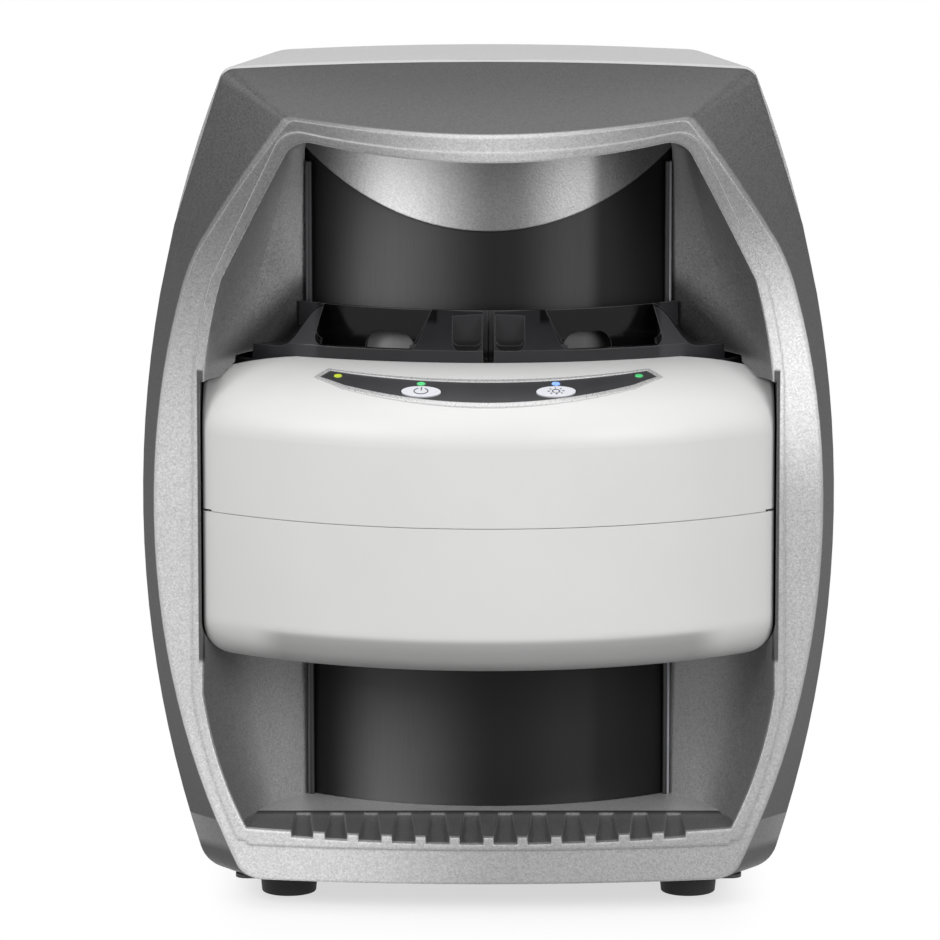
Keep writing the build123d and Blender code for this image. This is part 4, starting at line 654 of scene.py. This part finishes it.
def ribbon(form, tree, frameOf, stroke, look):
    # one stroke as a flat bar laid on the crown
    middle, right, up, outward = frameOf
    low, high = outward * look["lift"], outward * (look["lift"] + look["thick"])
    rows = []
    for index, (across, along) in enumerate(stroke):
        before, after = stroke[max(index - 1, 0)], stroke[min(index + 1, len(stroke) - 1)]
        run = Vector((after[0] - before[0], after[1] - before[1])).normalized()
        side = Vector((-run.y, run.x)) * look["line"] / 2
        hits = []
        for sign in (-1, 1):
            above = middle + right * (across + sign * side.x) + up * (along + sign * side.y)
            hits.append(tree.ray_cast(above + outward * look["above"], -outward)[0])
        corners = (hits[0] + low, hits[1] + low, hits[1] + high, hits[0] + high)
        rows.append([form.verts.new(corner) for corner in corners])
    for first, second in zip(rows, rows[1:]):
        for corner in range(4):
            follow = (corner + 1) % 4
            form.faces.new((first[corner], first[follow], second[follow], second[corner]))
    form.faces.new(reversed(rows[0]))
    form.faces.new(rows[-1])


def printFinish(name, look):
    finish = Finish(name)
    grain = finish.noise(look["grainScale"], 3)
    return finish.close({
        "Base Color": finish.mix(grain.fade(0.35, 0.65), shade(look["colour"], 0.75), shade(look["colour"], 1.3)),
        "Roughness": look["roughness"] + grain.swing(look["roughnessSpread"]),
        "Normal": finish.raised(grain, look["grainDepth"]),
    })


symbolPaint = printFinish("symbolPrint", symbolLook)


def addPiece(name, form, material):
    mesh = bpy.data.meshes.new(name)
    form.to_mesh(mesh)
    form.free()
    mesh.materials.append(material)
    piece = bpy.data.objects.new(name, mesh)
    scene.collection.objects.link(piece)
    return piece


def makeSymbol(name, node, body, strokes, look):
    form = bmesh.new()
    source = nodes[node].data
    corners = [corner.co for corner in source.vertices]
    tree = BVHTree.FromPolygons(corners, [tuple(face.vertices) for face in source.polygons])
    frameOf = buttonFrame(source, look)
    for stroke in strokes:
        ribbon(form, tree, frameOf, stroke, look)
    bmesh.ops.recalc_face_normals(form, faces=form.faces)
    piece = addPiece(name, form, symbolPaint)
    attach(piece, body)


makeSymbol("power_symbol", "power_button", "power_key", powerStrokes, symbolLook)
makeSymbol("lamp_symbol", "eraser_button", "eraser_key", lampStrokes, symbolLook)
print("symbols on the buttons")

# floor: pale close to the device, with its real shadow and a painted soft shadow around the device, plain white farther
# out

floorLook = {
    "radius": 6.0, "rings": 96, "level": 0.35, "dim": 0.26, "lift": 0.64, "clear": 0.14, "fleck": 40,
    "halfWidth": 0.118, "halfDepth": 0.100, "narrow": 3.3,
}


def makeFloor(look):
    finish = Finish("paleFloor")
    seen, spot = finish.seen(), finish.spot()
    # painted soft shadow: near the device the floor stays below white, fading to white over clear from the device's
    # footprint
    beside = (spot["X"].size() - look["halfWidth"]).most(0) * look["narrow"]
    before = (spot["Y"].size() - look["halfDepth"]).most(0)
    away = (beside * beside + before * before).root().fade(0.0, look["clear"])
    fleck = finish.noise(look["fleck"], 3).spread()
    colour = finish.mix(fleck, grey(look["level"] * 0.99), grey(look["level"]))
    lit = finish.node("ShaderNodeBsdfDiffuse", {}, {"Color": colour})["BSDF"]
    dim = finish.node("ShaderNodeBsdfDiffuse", {}, {"Color": grey(look["dim"])})["BSDF"]
    glow = finish.node("ShaderNodeEmission", {}, {"Color": grey(1.0), "Strength": look["lift"]})["Emission"]
    white = finish.node("ShaderNodeEmission", {}, {"Color": grey(1.0), "Strength": 1.0})["Emission"]
    near = finish.node("ShaderNodeAddShader", {}, {0: lit, 1: glow})["Shader"]
    clear = finish.node("ShaderNodeMixShader", {}, {0: away, 1: near, 2: white})["Shader"]
    shader = finish.node("ShaderNodeMixShader", {}, {0: seen, 1: dim, 2: clear})["Shader"]
    finish.node("ShaderNodeOutputMaterial", {}, {"Surface": shader})
    form = bmesh.new()
    bmesh.ops.create_circle(form, cap_ends=True, segments=look["rings"], radius=look["radius"])
    floor = addPiece("floor", form, finish.material)


makeFloor(floorLook)


class Surroundings(Finish):
    # the world's nodes, made the same way as a material's
    def __init__(self, name):
        self.world = bpy.data.worlds.new(name)
        self.world.use_nodes = True
        self.tree = self.world.node_tree
        self.tree.nodes.clear()


# world: white where it is seen, dimmer as light on the device

worldLook = {"ambient": 0.38, "seen": 1.0}
studio = Surroundings("studio")
seen = studio.seen()
dim = studio.node("ShaderNodeBackground", {}, {"Color": grey(1.0), "Strength": worldLook["ambient"]})["Background"]
white = studio.node("ShaderNodeBackground", {}, {"Color": grey(1.0), "Strength": worldLook["seen"]})["Background"]
sky = studio.node("ShaderNodeMixShader", {}, {0: seen, 1: dim, 2: white})["Shader"]
studio.node("ShaderNodeOutputWorld", {}, {"Surface": sky})
scene.world = studio.world

# lamps and camera

lampRig = {
    "keyLamp": {"at": (-2.0, -2.2, 1.9), "size": 1.5, "power": 49},
    "fillLamp": {"at": (1.8, -2.4, 1.3), "size": 1.3, "power": 43},
    "topLamp": {"at": (0.1, -0.5, 2.4), "size": 1.6, "power": 10},
}
lampAim = (0, -0.02, 0.23)
cameraLook = {
    "at": (0, -3.800, 0.9046), "aim": (0, -0.060, 0.2317), "lens": 261.8, "sensor": 36, "shift": -0.0197, "reach": 50,
}


def lookAt(name, data, at, aim):
    # puts a lamp or camera at one point, turned to another
    thing = bpy.data.objects.new(name, data)
    thing.location = at
    thing.rotation_euler = (Vector(aim) - Vector(at)).to_track_quat("-Z", "Y").to_euler()
    scene.collection.objects.link(thing)
    return thing


for lampName, rig in lampRig.items():
    lampData = bpy.data.lights.new(lampName, "AREA")
    lampData.shape = "SQUARE"
    lampData.size = rig["size"]
    lampData.energy = rig["power"]
    lookAt(lampName, lampData, rig["at"], lampAim)

cameraData = bpy.data.cameras.new("camera")
cameraData.sensor_width = cameraLook["sensor"]
cameraData.lens = cameraLook["lens"]
cameraData.shift_x = cameraLook["shift"]
cameraData.clip_end = cameraLook["reach"]
scene.camera = lookAt("camera", cameraData, cameraLook["at"], cameraLook["aim"])
scene.view_settings.view_transform = "Standard"
print("floor, light and camera ready")

bpy.context.view_layer.update()
